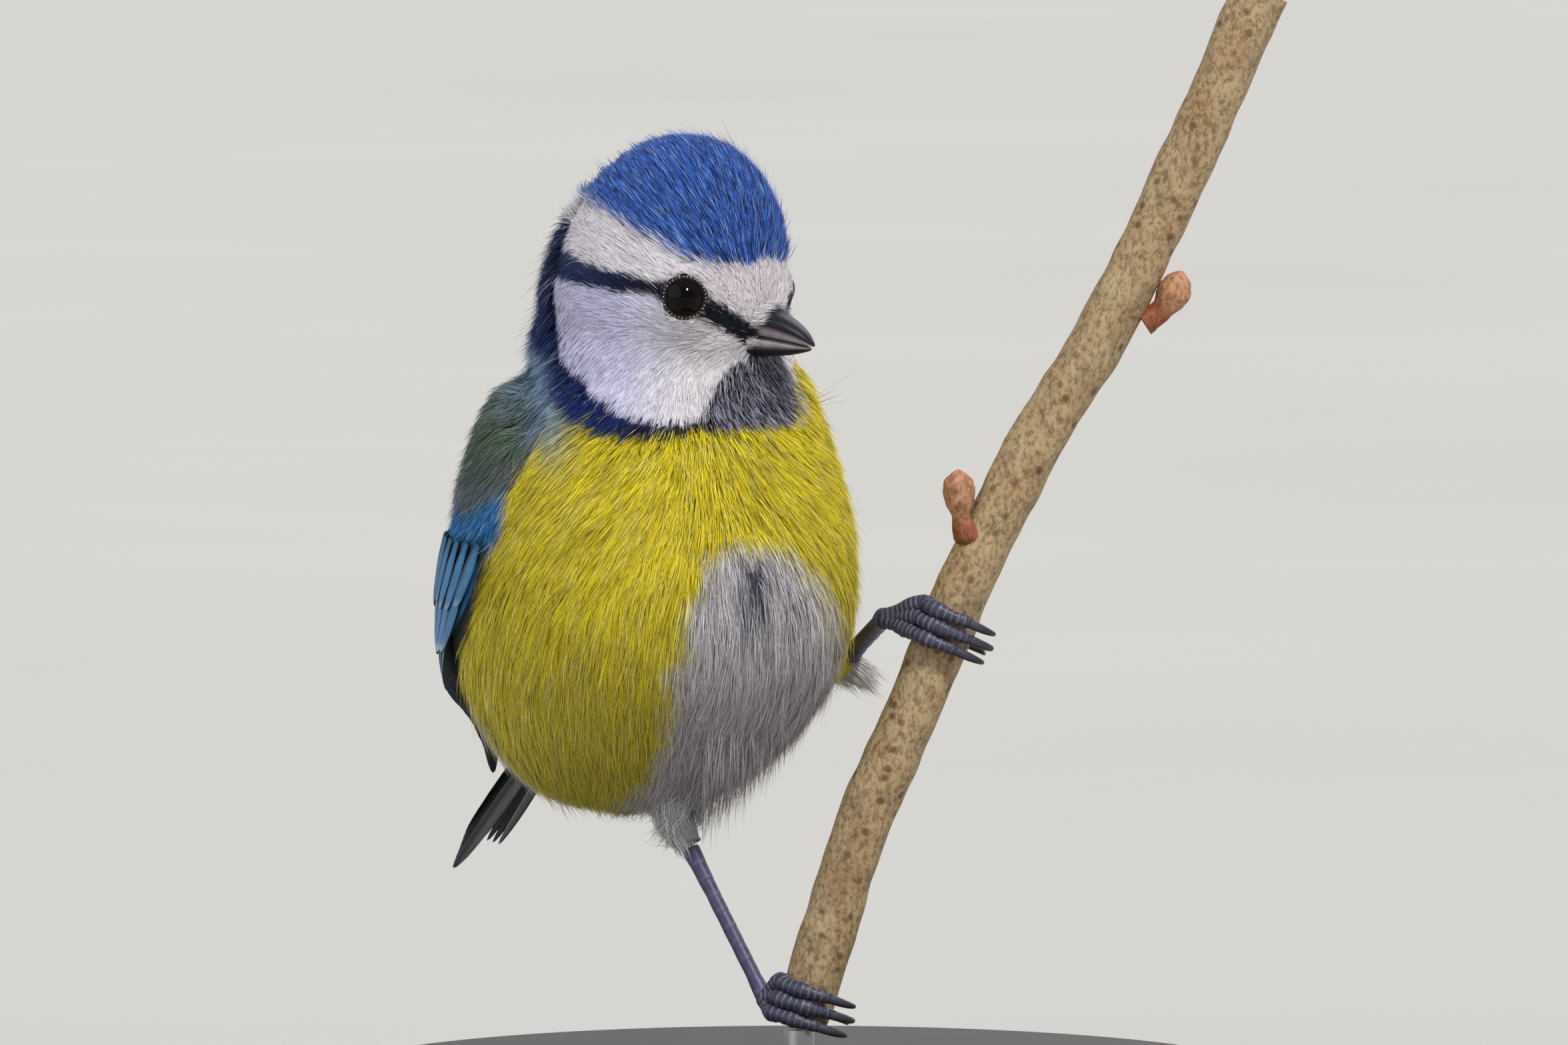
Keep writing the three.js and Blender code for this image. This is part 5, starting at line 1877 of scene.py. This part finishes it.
def bark_material():
    look, nodes, links, shader = material("bark")
    tint = node(nodes, "ShaderNodeAttribute", attribute_name="tint")
    grain = noise_node(nodes, links, 1900, 5, 0.7, (1, 1, 0.7))
    shade = stops(nodes, links, grain.outputs["Fac"], [(0.38, (0.36, 0.25, 0.16)), (0.56, (1, 1, 1))])
    colour = blended(nodes, links, "MULTIPLY", 0.8, tint.outputs["Color"], shade)
    patches = noise_node(nodes, links, 240, 4, 0.6, (1, 1, 0.5))
    warm = stops(nodes, links, patches.outputs["Fac"], [(0.45, (1, 1, 1)), (0.7, (0.8, 0.62, 0.5))])
    colour = blended(nodes, links, "MULTIPLY", 0.8, colour, warm)
    where = node(nodes, "ShaderNodeTexCoord")
    spots = node(nodes, "ShaderNodeTexVoronoi", Scale=520.0, Randomness=1.0)
    links.new(where.outputs["Object"], spots.inputs["Vector"])
    dots = stops(nodes, links, spots.outputs["Distance"], [(0.12, (1, 1, 1)), (0.3, (0, 0, 0))])
    few = noise_node(nodes, links, 160, 2)
    some = stops(nodes, links, few.outputs["Fac"], [(0.38, (0, 0, 0)), (0.5, (1, 1, 1))])
    mask = blended(nodes, links, "MULTIPLY", 1.0, dots, some)
    colour = blended(nodes, links, "MIX", mask, colour, (0.16, 0.075, 0.03))
    links.new(colour, shader.inputs["Base Color"])
    shader.inputs["Roughness"].default_value = 0.6
    both = blended(nodes, links, "ADD", 1.0, mask, grain.outputs["Fac"])
    add_bump(nodes, links, shader, both, 0.5, 0.00025)
    return look


def stem_part():
    """The stem from its cut foot to its cut top, with fine swellings."""
    line = STEM_CURVE[STEM_CURVE[:, 2] > STEM_FOOT]
    line = np.concatenate([[ROD_PLACE], line])
    line = spline(line[:: max(1, len(line) // 60)], 420)
    line = line[line[:, 2] >= STEM_FOOT]
    random = np.random.default_rng(80)
    phase = random.uniform(0, 6.28, 8)

    def bumps(along, around):
        total = 0
        for k in range(4):
            wave = np.sin(along * (0.35 + 0.42 * k) + (k % 3) * around + phase[k])
            total = total + 0.06 / (1 + 0.5 * k) * wave
        return total + 0.03 * np.sin(3 * around + 0.4 * along + phase[5])

    points, faces = tube(line, np.full(len(line), STEM_RADIUS - 0.1), 48, bumps)
    floor = points[:, 2] < STEM_FOOT
    points[floor, 2] = STEM_FOOT
    tint = np.tile(BARK_GOLD, (len(points), 1))
    streak = rng_noise(points * (1, 1, 0.3), 3, 81)
    tint = tint * (1 - 0.22 * ramp(streak, 0, 0.8))[:, None]
    return points, faces, tint


def make_stem():
    parts = [stem_part()]
    for line, radii in BUDS:
        path = spline([in_plane(*place) for place in line], 40)
        share = np.linspace(0, 1, 40)
        size = smooth_between(np.linspace(0, 1, len(radii)), radii, share)
        size = size * np.sqrt(np.clip((1 - share) / 0.12, 0.02, 1))

        def scales(along, around):
            overlap = (along / 1.5 + around / (2 * math.pi) * 2) % 1.0
            return 0.1 * (overlap - 0.5) + 0.04 * np.sin(5 * around)

        points, faces = tube(path, size, 32, scales)
        red = ramp(np.linspace(0, 1, len(points)), 0.5, 0.3)[:, None]
        parts.append((points, faces, mix(BUD_PINK, BUD_RED, red)))
    for place, radius in KNOBS:
        centre = in_plane(*place)
        share = np.linspace(-1, 1, 16)
        path = centre + np.outer(share * radius, (0, 0, 1))
        size = radius * np.sqrt(np.clip(1 - share**2, 0.01, 1))
        points, faces = tube(path, size, 24, lambda along, around: 0.06 * np.sin(4 * around + 3 * along))
        parts.append((points, faces, BUD_RED))
    points, faces, tint = joined(parts)
    piece = build("bark_stem", points, faces, tint)
    piece.data.materials.append(bark_material())
    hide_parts("perch_stem")
    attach(piece, "root")


# Stand


def turned(outline, sides):
    """A solid of revolution round the row's own Z, in the bird's millimetres."""
    outline = np.array(outline, dtype=float)
    around = np.arange(sides) * 2 * math.pi / sides
    x = outline[:, :1] * np.cos(around)
    y = outline[:, :1] * np.sin(around)
    z = outline[:, 1:] + 0 * x
    points = np.stack([x, y, z], axis=-1).reshape(-1, 3) - MIDDLE
    ring = np.arange(sides)
    last = (len(outline) - 1) * sides
    return points, [grid_faces(len(outline), sides, True), ring[None, ::-1], (last + ring)[None, :]]


def wood_material():
    look, nodes, links, shader = material("stand_wood")
    grain = noise_node(nodes, links, 60, 8, 0.62, (1, 12, 1))
    colour = stops(
        nodes,
        links,
        grain.outputs["Fac"],
        [(0.3, (0.012, 0.008, 0.006)), (0.55, (0.035, 0.022, 0.014)), (0.75, (0.07, 0.042, 0.026))],
    )
    links.new(colour, shader.inputs["Base Color"])
    shader.inputs["Roughness"].default_value = 0.38
    shader.inputs["Coat Weight"].default_value = 0.3
    shader.inputs["Coat Roughness"].default_value = 0.2
    add_bump(nodes, links, shader, grain.outputs["Fac"], 0.15, 0.0002)
    return look


def steel_material():
    look, nodes, links, shader = material("stand_steel")
    brush = noise_node(nodes, links, 900, 3, 0.6, (1, 1, 0.05))
    colour = stops(nodes, links, brush.outputs["Fac"], [(0.3, (0.5, 0.5, 0.5)), (0.7, (0.7, 0.7, 0.7))])
    links.new(colour, shader.inputs["Base Color"])
    shader.inputs["Metallic"].default_value = 1.0
    shader.inputs["Roughness"].default_value = 0.3
    add_bump(nodes, links, shader, brush.outputs["Fac"], 0.1, 0.00005)
    return look


def make_stand():
    edge = [
        (BASE_RADIUS - 1.2 + 1.2 * math.sin(a), BASE_HEIGHT - 1.2 + 1.2 * math.cos(a))
        for a in np.linspace(0, math.pi / 2, 8)
    ]
    disc = [(0.01, BASE_HEIGHT), *edge, (BASE_RADIUS, 0.3), (BASE_RADIUS - 0.3, 0), (0.01, 0)]
    low = BASE_HEIGHT + GAP
    rod = [(0.01, low + ROD_HEIGHT), (ROD_RADIUS, low + ROD_HEIGHT), (ROD_RADIUS, low), (0.01, low)]
    for name, outline, sides, look in (
        ("stand_base", disc, 160, wood_material()),
        ("stand_rod", rod, 48, steel_material()),
    ):
        points, faces = turned(outline, sides)
        piece = build(name.replace("stand", "display"), points, [f[:, ::-1] for f in faces], smooth=False)
        piece.data.materials.append(look)
        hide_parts(name)
        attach(piece, "root")


# Camera, lights and backdrop


def view_axes():
    a = VIEW_AZIMUTH
    e = VIEW_ELEVATION
    back = np.array([math.sin(a) * math.cos(e), -math.cos(a) * math.cos(e), math.sin(e)])
    right = np.array([math.cos(a), math.sin(a), 0])
    return right, back


def make_camera():
    data = bpy.data.cameras.new("camera")
    data.sensor_width = SENSOR
    data.lens = SENSOR * VIEW_DISTANCE / VIEW_WIDTH
    data.clip_end = 100
    camera = bpy.data.objects.new("camera", data)
    _, back = view_axes()
    camera.location = to_row(in_plane(0, 0, 0) + back * VIEW_DISTANCE)
    camera.rotation_euler = (-Vector(back)).to_track_quat("-Z", "Y").to_euler()
    bpy.context.scene.collection.objects.link(camera)
    bpy.context.scene.camera = camera


def make_sun(name, toward, up, softness, strength, colour=(1, 1, 1)):
    """A soft distant light at a turn from the camera and a height angle, aimed at the bird."""
    data = bpy.data.lights.new(name, "SUN")
    data.angle = math.radians(softness)
    data.energy = strength
    data.color = colour
    turn = VIEW_AZIMUTH + math.radians(toward)
    rise = math.radians(up)
    way = Vector((math.sin(turn) * math.cos(rise), -math.cos(turn) * math.cos(rise), math.sin(rise)))
    light = bpy.data.objects.new(name, data)
    light.location = Vector(to_row(np.zeros(3))) + way
    light.rotation_euler = (-way).to_track_quat("-Z", "Y").to_euler()
    bpy.context.scene.collection.objects.link(light)


FLOOR_REACH = 30000.0


def make_studio():
    make_sun("key", 28, 50, 9, 2.5, (1.0, 0.97, 0.92))
    make_sun("fill", -55, 25, 60, 0.7, (0.9, 0.94, 1.0))
    make_sun("rim", 150, 35, 30, 0.8)
    world = bpy.data.worlds.new("studio")
    world.use_nodes = True
    world.node_tree.nodes["Background"].inputs["Color"].default_value = (0.9, 0.92, 0.95, 1)
    world.node_tree.nodes["Background"].inputs["Strength"].default_value = 0.42
    bpy.context.scene.world = world
    look, nodes, links, shader = material("floor")
    cloud = noise_node(nodes, links, 4, 3)
    tone = stops(nodes, links, cloud.outputs["Fac"], [(0.3, (0.55, 0.54, 0.52)), (0.7, (0.57, 0.56, 0.54))])
    links.new(tone, shader.inputs["Base Color"])
    shader.inputs["Roughness"].default_value = 0.9
    shader.inputs["Specular IOR Level"].default_value = 0.1
    corner = np.array([(-1, -1, 0), (1, -1, 0), (1, 1, 0), (-1, 1, 0)]) * FLOOR_REACH
    floor = build("floor", corner - MIDDLE, [np.array([[0, 1, 2, 3]])], smooth=False)
    floor.data.materials.append(look)
    bpy.context.scene.view_settings.view_transform = "Standard"


make_camera()
make_studio()
make_skin()
make_coat()
blades_look = vane_material("vanes")
make_wing("plumes_left", 1, blades_look)
make_wing("plumes_right", -1, blades_look)
make_tail(blades_look)
eye_look = eye_material()
lid_look = plumage_material("lids", 0.5)
for eye_name, eye_side in (("left", 1), ("right", -1)):
    make_eye("eyeball_" + eye_name, eye_side, eye_look)
    make_lid("lid_" + eye_name, eye_side, lid_look)
make_bill()
make_legs()
make_stem()
make_stand()
